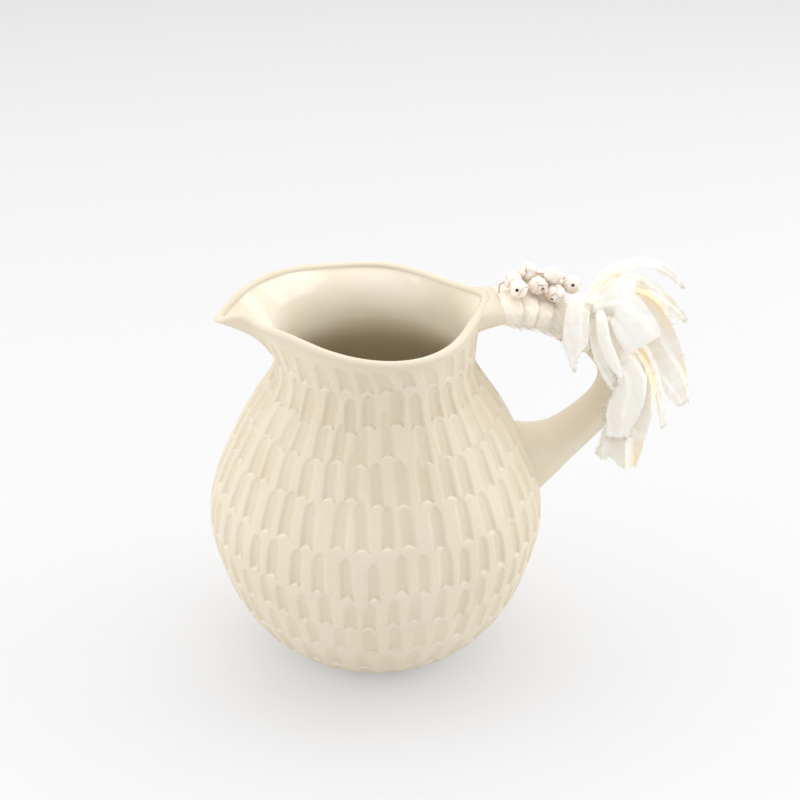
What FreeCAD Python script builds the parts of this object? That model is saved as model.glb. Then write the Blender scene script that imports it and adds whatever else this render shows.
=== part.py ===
import FreeCAD
import Part

import math
import os

from FreeCAD import Placement, Rotation, Vector

# A hand-built stoneware jug with an open, pointed mouth and a strap handle.
# Torn muslin is wound round the top of the handle, ten stone beads are
# stitched on it, and a bunch of torn strips hangs from a knot.
# Millimetres, +Z up, origin in the middle of the foot, handle towards +X,
# spout towards -X.

doc = FreeCAD.newDocument("jug")
sheet = doc.addObject("Spreadsheet::Sheet", "Sizes")

# Driving sizes

SIZES = (
    ("foot_radius", 31.5, "flat ring that the jug stands on"),
    ("belly_radius", 74.0, "widest outside radius"),
    ("belly_height", 66.0, "height of the widest ring"),
    ("neck_radius", 43.3, "narrowest outside radius of the neck"),
    ("neck_height", 141.5, "height of the narrowest ring"),
    ("wall", 4.0, "thickness of the thrown wall"),
    ("floor_thickness", 5.0, "clay under the inside"),
    ("floor_radius", 27.0, "flat inside of the floor"),
    ("mouth_length", 113.0, "mouth from the handle end to the spout tip"),
    ("mouth_width", 100.4, "mouth across"),
    ("mouth_shift", 9.0, "mouth centre towards the spout"),
    ("rim_above_neck", 22.7, "lowest point of the lip above the neck"),
    ("rim_rise", 7.5, "rise of the lip behind the spout"),
    ("handle_width", 24.0, "strap width in the grip"),
    ("handle_root_width", 29.0, "strap width where it joins the wall"),
    ("handle_thickness", 9.0, "strap thickness in the grip"),
    ("handle_root_thickness", 11.5, "strap thickness where it joins"),
    ("handle_drop", 1.2, "top root below the lowest lip"),
    ("handle_stand", 31.0, "crown of the strap outside the belly"),
    ("handle_crown_height", 122.5, "height of the crown"),
    ("handle_low_height", 81.0, "height of the low root"),
    ("handle_bury", 10.0, "low root inside the belly line"),
    ("root_inset", 5.5, "top root inside the handle end of the lip"),
    ("cloth_thickness", 0.8, "one layer of torn muslin with its nap"),
    ("wrap_start", 10.5, "start of the winding along the strap"),
    ("wrap_length", 33.5, "length of the winding along the strap"),
    ("wrap_base", 1.0, "cloth under the near edge of a lap"),
    ("wrap_crest", 2.4, "cloth under the far edge of a lap"),
    ("lap_overlap", 2.0, "one lap under the next"),
    ("tie_width", 9.0, "band that holds the knot"),
    ("tie_thickness", 2.0, "cloth in that band"),
    ("knot_radius", 6.5, "knot, seen along Y"),
    ("knot_half_length", 9.5, "knot, half its length along Y"),
    ("knot_sink", 0.9, "how deep the strap and band press into the knot"),
    ("bead_diameter", 8.0, "round stone bead"),
    ("bead_bore", 1.0, "hole through a bead"),
    ("bead_gap", 0.35, "air between beads and over the cloth"),
    ("bead_start", 16.95, "first bead along the strap"),
    ("thread_diameter", 0.8, "stitching thread"),
    ("thread_lead", 1.2, "straight thread outside a bead"),
    ("thread_anchor", 1.5, "thread inside the winding"),
    ("fringe_length", 75.0, "knot centre to the lowest strip end"),
    ("fringe_gap", 0.4, "air between the knot and a strip"),
    ("strip_width", 10.0, "usual width of a torn strip"),
)
for row, (alias, value, note) in enumerate(SIZES, start=1):
    sheet.set(f"A{row}", note)
    sheet.set(f"B{row}", str(value))
    sheet.setAlias(f"B{row}", alias)
doc.recompute()


def size(alias):
    return float(sheet.get(alias))


# Counts
LAPS = 5
OUTSIDE_RUNS = 12
INSIDE_RUNS = 7
LIP_ANGLES = (40, 90, 140)
# Lengths below this count as none.
NO_LENGTH = 1e-6
BEAD_SIDES = 12
BEAD_ROWS = 6
THREAD_SIDES = 4
KNOT_SIDES = 12
KNOT_ROWS = 6
HALVINGS = 40

# Jug outline, from the foot up. Flank: height as a share of the belly
# height, and how far the radius has gone from the foot to the belly.
FLANK_SHARES = (
    (0.00, 0.00), (0.03, 0.115), (0.08, 0.23), (0.18, 0.43), (0.33, 0.63),
    (0.53, 0.807), (0.76, 0.927), (1.00, 1.00),
)
# Shoulder: height from belly to neck, and how far the radius has gone in.
SHOULDER_SHARES = (
    (0.16, 0.03), (0.34, 0.17), (0.50, 0.35), (0.65, 0.53), (0.80, 0.76),
    (0.92, 0.94), (1.00, 1.00),
)
# Throat: height from neck to lip, and how far it has opened to the mouth.
THROAT_SHARES = (
    (0.27, 0.06), (0.54, 0.26), (0.79, 0.59), (1.00, 1.00),
)
# Mouth: angle round the jug in degrees, then the lip's place along and
# across, and its rise.
MOUTH_SHARES = (
    (0.0, 1.000, 0.000, 0.56), (10.0, 0.943, 0.185, 0.41),
    (25.0, 0.820, 0.430, 0.17), (45.0, 0.647, 0.728, 0.01),
    (67.0, 0.360, 0.970, 0.02), (90.0, 0.000, 0.980, 0.17),
    (112.0, -0.305, 0.838, 0.53), (135.0, -0.548, 0.617, 0.88),
    (155.0, -0.735, 0.383, 1.00), (171.0, -0.882, 0.157, 0.80),
    (180.0, -1.000, 0.000, 0.21),
)
SEAM_ANGLE = 90.0
FULL_TURN = 360.0

# Strap, from the top root to the crown: out, and down.
UPPER_STRAP_SHARES = (
    (0.00, 0.00), (0.127, 0.01), (0.254, 0.025), (0.365, 0.054),
    (0.476, 0.109), (0.603, 0.202), (0.73, 0.341), (0.857, 0.538),
    (0.96, 0.778), (1.00, 1.00),
)
# Strap, from the crown to the low root: in, and down.
LOWER_STRAP_SHARES = (
    (0.059, 0.205), (0.205, 0.373), (0.366, 0.523), (0.537, 0.667),
    (0.756, 0.831), (1.00, 1.00),
)
# Strap section: share of its length, and how much of the root's extra
# width and thickness is left there.
STRAP_FLARE_SHARES = (
    (0.00, 1.00), (0.05, 0.55), (0.12, 0.15), (0.20, 0.00), (0.28, 0.00),
    (0.36, 0.00), (0.44, 0.00), (0.52, 0.00), (0.60, 0.00), (0.68, 0.03),
    (0.76, 0.10), (0.84, 0.26), (0.92, 0.60), (1.00, 1.00),
)
# Strap edge, in half thicknesses: in from the side, and up from the middle.
STRAP_EDGE_SHARES = (
    (0.00, 0.00), (0.10, 0.45), (0.38, 0.78), (0.85, 0.93), (1.80, 1.00),
)

# Beads, in bead pitches: along the strap, across it and lift off the
# cloth, then the direction of the hole.
BEAD_SHARES = (
    ("bead_1", (0.00, -0.83, 0.06), (-0.356, -0.895, 0.261)),
    ("bead_2", (0.95, -0.20, 0.04), (0.345, -0.935, -0.068)),
    ("bead_3", (1.77, -0.50, 0.00), (-0.666, -0.664, -0.335)),
    ("bead_4", (-0.07, 0.17, 0.00), (0.990, 0.000, 0.100)),
    ("bead_5", (0.59, 0.62, 0.42), (0.946, -0.315, -0.072)),
    ("bead_6", (1.28, 0.97, 0.17), (0.910, -0.410, 0.080)),
    ("bead_7", (1.51, 0.21, 0.64), (0.946, -0.315, -0.072)),
    ("bead_8", (2.39, 0.04, 0.55), (-0.100, -0.946, 0.300)),
    ("bead_9", (0.575, 1.375, 0.00), (0.910, -0.410, 0.080)),
    ("bead_10", (2.10, 0.76, 0.00), (0.620, 0.300, 0.720)),
)
# Beads whose holes line up on one straight thread.
BEAD_LINES = (("bead_5", "bead_7"), ("bead_9", "bead_6"))
# How far inside its last bead a thread ends, as a share of its radius.
THREAD_END_SHARE = 0.55

# Strips, as shares of the fringe length from the knot's centre, each with
# its width as a share of the usual width, its turn about its own run in
# degrees, and the crown of its fold as a share of its width. The first
# place only gives the direction in which the strip leaves the knot.
STRIP_SHARES = {
    "strip_tail": (
        ((-0.06, -0.135, 0.062), 0.40, 0, 0.20),
        ((-0.136, -0.185, 0.094), 0.80, 0, 0.16),
        ((-0.152, -0.217, 0.017), 1.00, 0, 0.12),
        ((-0.158, -0.227, -0.128), 0.80, 0, 0.10),
        ((-0.149, -0.220, -0.277), 0.15, 0, 0.08),
    ),
    "strip_band": (
        ((-0.02, -0.14, -0.02), 0.35, 0, 0.10),
        ((-0.038, -0.178, -0.079), 0.45, 0, 0.12),
        ((-0.011, -0.186, -0.185), 0.50, 0, 0.12),
        ((0.058, -0.176, -0.345), 0.50, 0, 0.10),
        ((0.115, -0.171, -0.455), 0.30, 0, 0.08),
    ),
    "strip_leaf": (
        ((0.014, -0.14, 0.026), 0.26, 10, 0.20),
        ((-0.012, -0.213, 0.020), 0.50, 15, 0.30),
        ((-0.003, -0.240, -0.064), 0.70, 20, 0.35),
        ((0.050, -0.248, -0.208), 0.65, 20, 0.35),
        ((0.119, -0.245, -0.339), 0.20, 10, 0.20),
    ),
    "strip_front": (
        ((0.07, -0.11, -0.02), 0.40, 0, 0.16),
        ((0.083, -0.168, -0.110), 0.65, -10, 0.16),
        ((0.141, -0.207, -0.244), 0.95, -5, 0.14),
        ((0.195, -0.217, -0.390), 1.30, 0, 0.12),
        ((0.154, -0.213, -0.578), 1.40, 10, 0.10),
        ((0.132, -0.200, -0.749), 0.90, 5, 0.08),
    ),
    "strip_shield": (
        ((0.07, -0.10, 0.06), 0.45, 0, 0.20),
        ((0.104, -0.143, 0.073), 1.20, 5, 0.12),
        ((0.173, -0.215, -0.020), 1.60, 10, 0.08),
        ((0.237, -0.250, -0.136), 1.66, 12, 0.06),
    ),
    "strip_back": (
        ((0.09, -0.04, -0.04), 0.40, 0, 0.16),
        ((0.211, -0.077, -0.253), 1.00, 10, 0.14),
        ((0.285, -0.085, -0.483), 1.30, 15, 0.14),
        ((0.231, -0.080, -0.749), 1.70, 8, 0.12),
        ((0.171, -0.069, -1.000), 1.90, 0, 0.10),
    ),
    "strip_narrow": (
        ((0.10, 0.03, -0.05), 0.30, 0, 0.14),
        ((0.325, 0.016, -0.307), 0.50, -30, 0.14),
        ((0.427, 0.013, -0.544), 0.50, -40, 0.14),
        ((0.478, 0.013, -0.820), 0.35, -20, 0.10),
    ),
    "strip_right": (
        ((0.11, -0.01, 0.04), 0.40, 0, 0.16),
        ((0.250, 0.043, 0.021), 0.95, 15, 0.14),
        ((0.393, 0.067, -0.128), 1.10, 20, 0.12),
        ((0.460, 0.083, -0.316), 1.40, 15, 0.12),
        ((0.532, 0.083, -0.521), 1.40, 0, 0.10),
        ((0.604, 0.069, -0.702), 0.80, -10, 0.08),
    ),
    "strip_short": (
        ((0.045, -0.02, 0.08), 0.40, 0, 0.12),
        ((0.098, -0.015, 0.120), 0.60, -30, 0.10),
        ((0.160, -0.040, 0.132), 0.90, -25, 0.10),
        ((0.213, -0.060, 0.112), 0.85, -15, 0.08),
    ),
    "strip_middle": (
        ((0.09, 0.05, 0.06), 0.40, 0, 0.14),
        ((0.240, 0.107, 0.080), 0.90, -20, 0.12),
        ((0.403, 0.128, -0.020), 0.80, 0, 0.12),
        ((0.514, 0.133, -0.109), 0.50, 15, 0.10),
        ((0.588, 0.120, -0.173), 0.30, 20, 0.08),
    ),
    "strip_high": (
        ((0.02, 0.10, 0.07), 0.40, 0, 0.14),
        ((0.150, 0.185, 0.130), 0.70, -35, 0.12),
        ((0.424, 0.225, 0.145), 0.45, -20, 0.10),
        ((0.526, 0.225, 0.075), 0.35, 0, 0.10),
        ((0.593, 0.210, 0.000), 0.20, 15, 0.08),
    ),
}
# Strip section: side from edge to edge, share of the crown, and share of the
# cloth thickness left.
STRIP_SECTION_SHARES = (
    (-1.00, 0.00, 0.50), (-0.60, 0.64, 1.00), (0.00, 1.00, 1.00), (0.60, 0.64, 1.00),
    (1.00, 0.00, 0.50),
)
STRIP_STEPS = 2
# The side that an unturned strip shows.
FACING = Vector(-0.13, -0.87, 0.47).normalize()
# Flat end of the knot, as a share of its radius.
KNOT_END_SHARE = 0.35
# Flat rim round a bead's hole, as a share of its radius.
BEAD_END_SHARE = 0.26


def feature(name, shape):
    # A sub-part whose shape no single primitive or sketch makes.
    part = doc.addObject("Part::Feature", name)
    part.Label = name
    part.Shape = shape
    part.Placement = Placement()
    return part


def cut_from(base, tool, name):
    # One object cut out of another.
    part = doc.addObject("Part::Cut", name)
    part.Label = name
    part.Base = base
    part.Tool = tool
    doc.recompute()
    expect_one_solid(part.Shape, name)
    return part


def expect_one_solid(shape, name):
    if len(shape.Solids) != 1 or not shape.isValid():
        raise RuntimeError(f"{name} isn't one sound solid")
    return shape.Solids[0]


def flat_faces(corners):
    # One flat face, or two where the four corners don't lie in a plane.
    first, second, third, fourth = corners
    if first.distanceToPoint(second) < NO_LENGTH:
        return [Part.Face(Part.makePolygon([second, third, fourth, second]))]
    if third.distanceToPoint(fourth) < NO_LENGTH:
        return [Part.Face(Part.makePolygon([first, second, third, first]))]
    normal = (second - first).cross(fourth - first).normalize()
    if abs(normal.dot(third - first)) < NO_LENGTH:
        return [Part.Face(Part.makePolygon([first, second, third, fourth, first]))]
    return [
        Part.Face(Part.makePolygon([first, second, third, first])),
        Part.Face(Part.makePolygon([first, third, fourth, first])),
    ]


def banded(rings, name):
    # A solid in flat facets through outlines that have as many corners each.
    faces = []
    for low, high in zip(rings, rings[1:]):
        for i in range(len(low)):
            j = (i + 1) % len(low)
            faces += flat_faces([low[i], low[j], high[j], high[i]])
    for ring in (rings[0], rings[-1]):
        faces.append(Part.Face(Part.makePolygon(ring + ring[:1])))
    skin = Part.makeShell(faces)
    skin.sewShape()
    solid = Part.makeSolid(Part.Shell(skin.Faces))
    return expect_one_solid(solid, name)


# Thrown wall

def lip_rows():
    # The mouth table all the way round, starting at the seam.
    half = list(MOUTH_SHARES)
    mirrored = [(FULL_TURN - a, x, -y, z) for a, x, y, z in reversed(half[1:-1])]
    rows = half + mirrored
    start = [row[0] for row in rows].index(SEAM_ANGLE)
    wrapped = [(a + FULL_TURN, x, y, z) for a, x, y, z in rows[:start]]
    return rows[start:] + wrapped


def rim_height():
    return size("neck_height") + size("rim_above_neck")


def lip_line():
    # Places of the lip's crest, with the outward direction at each.
    rows = lip_rows()
    points = []
    for angle, along, across, rise in rows:
        x = along * size("mouth_length") / 2 - size("mouth_shift")
        y = across * size("mouth_width") / 2
        z = rim_height() + rise * size("rim_rise")
        points.append(Vector(x, y, z))
    outward = []
    for i in range(len(points)):
        before = points[i - 1]
        after = points[(i + 1) % len(points)]
        run = Vector(after.x - before.x, after.y - before.y, 0)
        outward.append(Vector(run.y, -run.x, 0).normalize())
    return points, outward


def closed_ring(points):
    angles = [row[0] for row in lip_rows()]
    knots = [(angle - SEAM_ANGLE) / FULL_TURN for angle in angles] + [1.0]
    curve = Part.BSplineCurve()
    curve.interpolate(Points=points, PeriodicFlag=True, Parameters=knots)
    return Part.Wire(curve.toShape())


def neck_ring(radius):
    # The level round ring where the throat starts, with its seam in place.
    centre = Vector(0, 0, size("neck_height"))
    up = Vector(0, 0, 1)
    ring = Part.Wire(Part.Circle(centre, up, radius).toShape())
    return ring.rotated(centre, up, SEAM_ANGLE)


def body_outline():
    # Radius and height of the outside, from the foot to the neck.
    outline = []
    for up, out in FLANK_SHARES:
        radius = size("foot_radius") + out * (size("belly_radius") - size("foot_radius"))
        outline.append((radius, up * size("belly_height")))
    for up, inward in SHOULDER_SHARES:
        radius = size("belly_radius") - inward * (size("belly_radius") - size("neck_radius"))
        height = size("belly_height") + up * (size("neck_height") - size("belly_height"))
        outline.append((radius, height))
    return outline


def inner_outline():
    # The same outline moved in by the wall, square to the surface.
    outer = body_outline()
    inner = []
    for i in range(1, len(outer) - 1):
        run_out = outer[i + 1][0] - outer[i - 1][0]
        run_up = outer[i + 1][1] - outer[i - 1][1]
        run = math.hypot(run_out, run_up)
        radius = outer[i][0] - size("wall") * run_up / run
        height = outer[i][1] + size("wall") * run_out / run
        if radius > size("floor_radius") and height > size("floor_thickness") + size("wall") / 2:
            inner.append((radius, height))
    inner.insert(0, (size("floor_radius"), size("floor_thickness")))
    inner.append((size("neck_radius") - size("wall"), size("neck_height")))
    return inner


def throat_ring(up, opening, side):
    # A ring between the neck and the lip. side is 1 outside, -1 inside.
    crest, outward = lip_line()
    half_wall = size("wall") / 2
    radius = size("neck_radius") - half_wall + side * half_wall
    points = []
    for row, top, out in zip(lip_rows(), crest, outward):
        angle = math.radians(row[0])
        low = Vector(radius * math.cos(angle), radius * math.sin(angle), 0)
        high = Vector(top.x, top.y, 0) + out * (side * half_wall)
        place = low + (high - low) * opening
        height = size("neck_height") + up * (top.z - half_wall - size("neck_height"))
        points.append(Vector(place.x, place.y, height))
    return closed_ring(points)


def lip_ring(angle):
    # A ring over the rounded lip. angle runs from 0 outside to 180 inside.
    crest, outward = lip_line()
    half_wall = size("wall") / 2
    out_share = math.cos(math.radians(angle))
    up_share = math.sin(math.radians(angle)) - 1
    return closed_ring(
        [
            top + out * (half_wall * out_share) + Vector(0, 0, half_wall * up_share)
            for top, out in zip(crest, outward)
        ]
    )


def turned_skin(outline, runs):
    # A level disc and the smooth wall that rises from its edge, turned.
    # The wall's meridian ends upright and is turned in short straight runs.
    points = [Vector(0, radius, height) for radius, height in outline]
    beyond = Vector(0, points[-2].y, 2 * points[-1].z - points[-2].z)
    curve = Part.BSplineCurve()
    curve.interpolate(Points=points + [beyond])
    curve.segment(curve.FirstParameter, curve.parameter(points[-1]))
    meridian = [Vector(0, 0, points[0].z)] + curve.discretize(Number=runs + 1)
    turned = Part.makePolygon(meridian).revolve(Vector(0, 0, 0), Vector(0, 0, 1), FULL_TURN)
    return turned.Faces


def make_vessel():
    # Below the neck it is round and turned. The throat, the rounded lip and
    # the inside of the throat are three skins that share their end rings.
    outside = [neck_ring(size("neck_radius"))]
    outside += [throat_ring(up, opening, 1) for up, opening in THROAT_SHARES]
    inside = [throat_ring(up, opening, -1) for up, opening in reversed(THROAT_SHARES)]
    inside.append(neck_ring(size("neck_radius") - size("wall")))
    lip = [outside[-1]] + [lip_ring(angle) for angle in LIP_ANGLES] + [inside[0]]
    faces = turned_skin(body_outline(), OUTSIDE_RUNS) + turned_skin(inner_outline(), INSIDE_RUNS)
    for rings in (outside, lip, inside):
        faces += Part.makeLoft(rings, False, True).Faces
    skin = Part.makeShell(faces)
    skin.sewShape()
    return expect_one_solid(Part.makeSolid(Part.Shell(skin.Faces)), "vessel_body")


# Strap handle

def strap_line():
    lip_end = size("mouth_length") / 2 - size("mouth_shift")
    top = Vector(lip_end - size("root_inset"), 0, rim_height() - size("handle_drop"))
    crown = Vector(size("belly_radius") + size("handle_stand"), 0, size("handle_crown_height"))
    low = Vector(size("belly_radius") - size("handle_bury"), 0, size("handle_low_height"))
    points = []
    for start, end, shares in ((top, crown, UPPER_STRAP_SHARES), (crown, low, LOWER_STRAP_SHARES)):
        for out, down in shares:
            x = start.x + out * (end.x - start.x)
            z = start.z + down * (end.z - start.z)
            points.append(Vector(x, 0, z))
    curve = Part.BSplineCurve()
    curve.interpolate(Points=points)
    return curve


STRAP = strap_line()


def strap_place(station):
    # Centre of the strap at this length along it, and its outward side.
    at = STRAP.parameterAtDistance(station, STRAP.FirstParameter)
    run = STRAP.tangent(at)[0]
    return STRAP.value(at), Vector(-run.z, 0, run.x)


def strap_section(station, half_width, half_thickness):
    # A strap in facets: two gently crowned faces and two rounded edges.
    centre, outward = strap_place(station)
    side = Vector(0, 1, 0)
    quarter = []
    for in_share, up_share in STRAP_EDGE_SHARES:
        quarter.append((half_width - in_share * half_thickness, up_share * half_thickness))
    half = [(-across, over) for across, over in quarter] + [
        (across, over) for across, over in reversed(quarter)
    ]
    under = [(across, -over) for across, over in reversed(half[1:-1])]
    return [centre + side * across + outward * over for across, over in half + under]


def make_handle(vessel):
    length = STRAP.length()
    sections = []
    for along, flare in STRAP_FLARE_SHARES:
        wide = size("handle_width") + flare * (size("handle_root_width") - size("handle_width"))
        thick = size("handle_thickness") + flare * (
            size("handle_root_thickness") - size("handle_thickness")
        )
        sections.append(strap_section(along * length, wide / 2, thick / 2))
    strap = banded(sections, "strap")
    outside = max(strap.cut(vessel).Solids, key=lambda piece: piece.Volume)
    return expect_one_solid(outside, "handle")


# Winding, band and knot

def sleeve(start, end, start_cloth, end_cloth):
    # Cloth round the strap whose thickness changes from start to end.
    half_width = size("handle_width") / 2
    half_thickness = size("handle_thickness") / 2
    middle = (start + end) / 2
    middle_cloth = (start_cloth + end_cloth) / 2
    sections = [
        strap_section(station, half_width + cloth, half_thickness + cloth)
        for station, cloth in ((start, start_cloth), (middle, middle_cloth), (end, end_cloth))
    ]
    return banded(sections, "sleeve")


def make_wrap(handle):
    # Laps like roof tiles: each starts under the crest of the one before.
    pitch = size("wrap_length") / LAPS
    laps = []
    for lap in range(LAPS):
        start = size("wrap_start") + lap * pitch
        end = min(start + pitch + size("lap_overlap"), wrap_end())
        cloth = sleeve(start, end, size("wrap_base"), size("wrap_crest"))
        laps.append(feature(f"lap_{lap + 1}", cloth))
    winding = doc.addObject("Part::MultiFuse", "winding")
    winding.Shapes = laps
    doc.recompute()
    return cut_from(winding, handle, "cloth_wrap")


def wrap_end():
    return size("wrap_start") + size("wrap_length")


def make_tie(handle, wrap):
    band = sleeve(
        wrap_end() - size("lap_overlap"),
        wrap_end() + size("tie_width"),
        size("tie_thickness"),
        size("tie_thickness"),
    )
    band = band.cut(handle).cut(wrap)
    return expect_one_solid(max(band.Solids, key=lambda piece: piece.Volume), "tie_band")


def knot_centre():
    centre, outward = strap_place(wrap_end() + size("tie_width") / 2)
    reach = size("handle_thickness") / 2 + size("tie_thickness")
    reach += size("knot_radius") - size("knot_sink")
    return centre + outward * reach


def polygon(centre, first, second, radius, sides):
    # A flat closed outline of equal sides in the plane of two directions.
    corners = []
    for corner in range(sides):
        angle = corner * math.tau / sides
        corners.append(centre + first * (radius * math.cos(angle)) + second * (radius * math.sin(angle)))
    return corners


def round_body(centre, along, radius, half_length, sides, rows, end_share):
    # An egg or ball in flat bands, whose corners lie on the round form. Its
    # ends are flat where end_share of the radius is left.
    first = along.cross(FACING).normalize()
    second = along.cross(first)
    limit = math.acos(end_share)
    rings = []
    for row in range(rows + 1):
        angle = limit * (2 * row / rows - 1)
        place = centre + along * (half_length * math.sin(angle))
        rings.append(polygon(place, first, second, radius * math.cos(angle), sides))
    return banded(rings, "round body")


def make_knot(handle, wrap, tie):
    ball = round_body(
        knot_centre(), Vector(0, 1, 0), size("knot_radius"), size("knot_half_length"),
        KNOT_SIDES, KNOT_ROWS, KNOT_END_SHARE,
    )
    cut = ball.cut(handle).cut(wrap).cut(tie)
    return expect_one_solid(max(cut.Solids, key=lambda piece: piece.Volume), "cloth_knot")


# Beads

def bead_pitch():
    return size("bead_diameter") + size("bead_gap")


def seat_height(across, clearance):
    # Height over the strap's middle of a point that clears the winding's
    # elliptic section by the clearance, found by halving the angle.
    half_width = size("handle_width") / 2 + size("wrap_crest")
    half_height = size("handle_thickness") / 2 + size("wrap_crest")
    low_angle, high_angle = 0.0, math.pi / 2
    for step in range(HALVINGS):
        angle = (low_angle + high_angle) / 2
        side = Vector(half_height * math.cos(angle), half_width * math.sin(angle), 0).normalize()
        if half_width * math.cos(angle) + clearance * side.x > abs(across):
            low_angle = angle
        else:
            high_angle = angle
    return half_height * math.sin(angle) + clearance * side.y


def over_wrap(along_share, across_share, clearance, lift=0.0):
    # A place over the winding, counted in bead pitches from the first bead.
    station = size("bead_start") + along_share * bead_pitch()
    across = across_share * bead_pitch()
    centre, outward = strap_place(station)
    height = seat_height(across, clearance) + lift
    return centre + outward * height + Vector(0, across, 0)


def bead_places():
    places = {}
    clearance = size("bead_diameter") / 2 + size("bead_gap")
    for name, (along, across, lift), hole in BEAD_SHARES:
        centre = over_wrap(along, across, clearance, lift * bead_pitch())
        places[name] = (centre, Vector(*hole).normalize())
    for first, second in BEAD_LINES:
        line = (places[second][0] - places[first][0]).normalize()
        for name in (first, second):
            places[name] = (places[name][0], line)
    return places


BEADS = bead_places()


def make_bead(name):
    # A ball in narrow flat bands with a hole right through.
    centre, hole = BEADS[name]
    radius = size("bead_diameter") / 2
    ball = round_body(centre, hole, radius, radius, BEAD_SIDES, BEAD_ROWS, BEAD_END_SHARE)
    drill = doc.addObject("Part::Cylinder", f"{name}_drill")
    drill.setExpression("Radius", "Sizes.bead_bore / 2")
    drill.setExpression("Height", "Sizes.bead_diameter")
    drill.Placement = Placement(centre - hole * radius, Rotation(Vector(0, 0, 1), hole))
    return cut_from(feature(f"{name}_ball", ball), drill, name)


# Stitches that hold the beads

def in_bead(name, side):
    # Where a thread ends inside a bead. side says towards which end.
    centre, hole = BEADS[name]
    return centre + hole * (side * THREAD_END_SHARE * size("bead_diameter") / 2)


def by_bead(name, side):
    # Where a thread starts to bend, straight outside a bead's hole.
    centre, hole = BEADS[name]
    return centre + hole * (side * (size("bead_diameter") / 2 + size("thread_lead")))


def under_bead(name):
    # Where a thread that runs straight down out of a bead ends in the cloth.
    centre, hole = BEADS[name]
    reach = size("bead_diameter") / 2 + size("bead_gap") + size("thread_anchor")
    return centre - hole * reach


def from_wrap(along_share, across_share, height_share):
    # A place over the cloth, its height in bead pitches.
    return over_wrap(along_share, across_share, height_share * bead_pitch())


def in_wrap(along_share, across_share):
    # Where a thread goes into the cloth.
    return over_wrap(along_share, across_share, -size("thread_anchor"))


def thread_routes():
    return {
        "bead_thread_1": [
            in_bead("bead_1", 1), by_bead("bead_1", -1),
            from_wrap(0.42, -0.14, 0.20), in_wrap(0.43, -0.14),
        ],
        "bead_thread_2": [
            in_wrap(0.92, 0.40), from_wrap(0.92, 0.36, 0.36), by_bead("bead_2", -1),
            by_bead("bead_2", 1), from_wrap(1.26, -0.91, 0.47), by_bead("bead_3", 1),
            by_bead("bead_3", -1), from_wrap(2.02, -0.02, 0.22), in_wrap(2.00, 0.05),
        ],
        "bead_thread_3": [
            in_bead("bead_4", 1), by_bead("bead_4", -1),
            from_wrap(-0.70, 0.16, 0.20), in_wrap(-0.68, 0.15),
        ],
        "bead_thread_4": [
            in_wrap(0.14, 0.90), from_wrap(0.12, 0.88, 0.55), by_bead("bead_5", -1),
            in_bead("bead_7", 1),
        ],
        "bead_thread_5": [
            in_bead("bead_6", 1), by_bead("bead_9", -1),
            from_wrap(0.08, 1.52, 0.16), in_wrap(0.10, 1.50),
        ],
        "bead_thread_6": [
            under_bead("bead_10"), by_bead("bead_10", 1), from_wrap(2.33, 0.91, 1.12),
            by_bead("bead_8", -1), in_bead("bead_8", 1),
        ],
    }


ARC_SHARE = 0.45


def thread_tube(name, route):
    # Straight runs joined by tangent arcs, swept by a round section.
    edges = []
    start = route[0]
    radii = []
    for before, corner, after in zip(route, route[1:], route[2:]):
        back = (before - corner).normalize()
        ahead = (after - corner).normalize()
        cut = min(
            ARC_SHARE * before.distanceToPoint(corner),
            ARC_SHARE * corner.distanceToPoint(after),
            size("thread_lead"),
        )
        turn = math.pi - back.getAngle(ahead)
        radii.append(cut / math.tan(turn / 2))
        enter = corner + back * cut
        leave = corner + ahead * cut
        inward = (back + ahead).normalize()
        to_centre = radii[-1] / math.cos(turn / 2)
        middle = corner + inward * (to_centre - radii[-1])
        edges.append(Part.LineSegment(start, enter).toShape())
        edges.append(Part.Arc(enter, middle, leave).toShape())
        start = leave
    edges.append(Part.LineSegment(start, route[-1]).toShape())
    path = Part.Wire(edges)
    heading = (route[1] - route[0]).normalize()
    radius = size("thread_diameter") / 2
    first = heading.cross(FACING).normalize()
    corners = polygon(route[0], first, heading.cross(first), radius, THREAD_SIDES)
    section = Part.Face(Part.makePolygon(corners + corners[:1]))
    tube = expect_one_solid(path.makePipe(section), name)
    full = path.Length * section.Area
    print(f"{name} least radius {min(radii):.2f}, volume to section times length {tube.Volume / full:.3f}")
    return tube


# Torn strips

def knot_edge(direction):
    # A place just off the knot's surface, in this direction.
    unit = Vector(direction).normalize()
    flat = math.hypot(unit.x, unit.z) / size("knot_radius")
    deep = unit.y / size("knot_half_length")
    reach = 1 / math.hypot(flat, deep)
    return knot_centre() + unit * (reach + size("fringe_gap"))


def strip_section(centre, run, width, turn, crown):
    # A crowned slip of cloth, thinning to its torn edges.
    across = run.cross(FACING).normalize()
    across = Rotation(run, turn).multVec(across)
    over = across.cross(run).normalize()
    thick = size("cloth_thickness")
    upper = []
    under = []
    for side, rise, depth in STRIP_SECTION_SHARES:
        place = centre + across * (side * width / 2) + over * (rise * crown * width)
        upper.append(place + over * (depth * thick / 2))
        under.append(place - over * (depth * thick / 2))
    return upper + under[::-1]


def eased(stations, steps):
    # More stations between the given ones, on a smooth line.
    curve = Part.BSplineCurve()
    curve.interpolate(Points=[place for place, width, turn, crown in stations])
    knots = curve.getKnots()
    rows = []
    for i in range(len(stations) - 1):
        for step in range(steps):
            share = step / steps
            place = curve.value(knots[i] + share * (knots[i + 1] - knots[i]))
            now, then = stations[i], stations[i + 1]
            rows.append((place, *[now[k] + share * (then[k] - now[k]) for k in (1, 2, 3)]))
    return rows + [stations[-1]]


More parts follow.
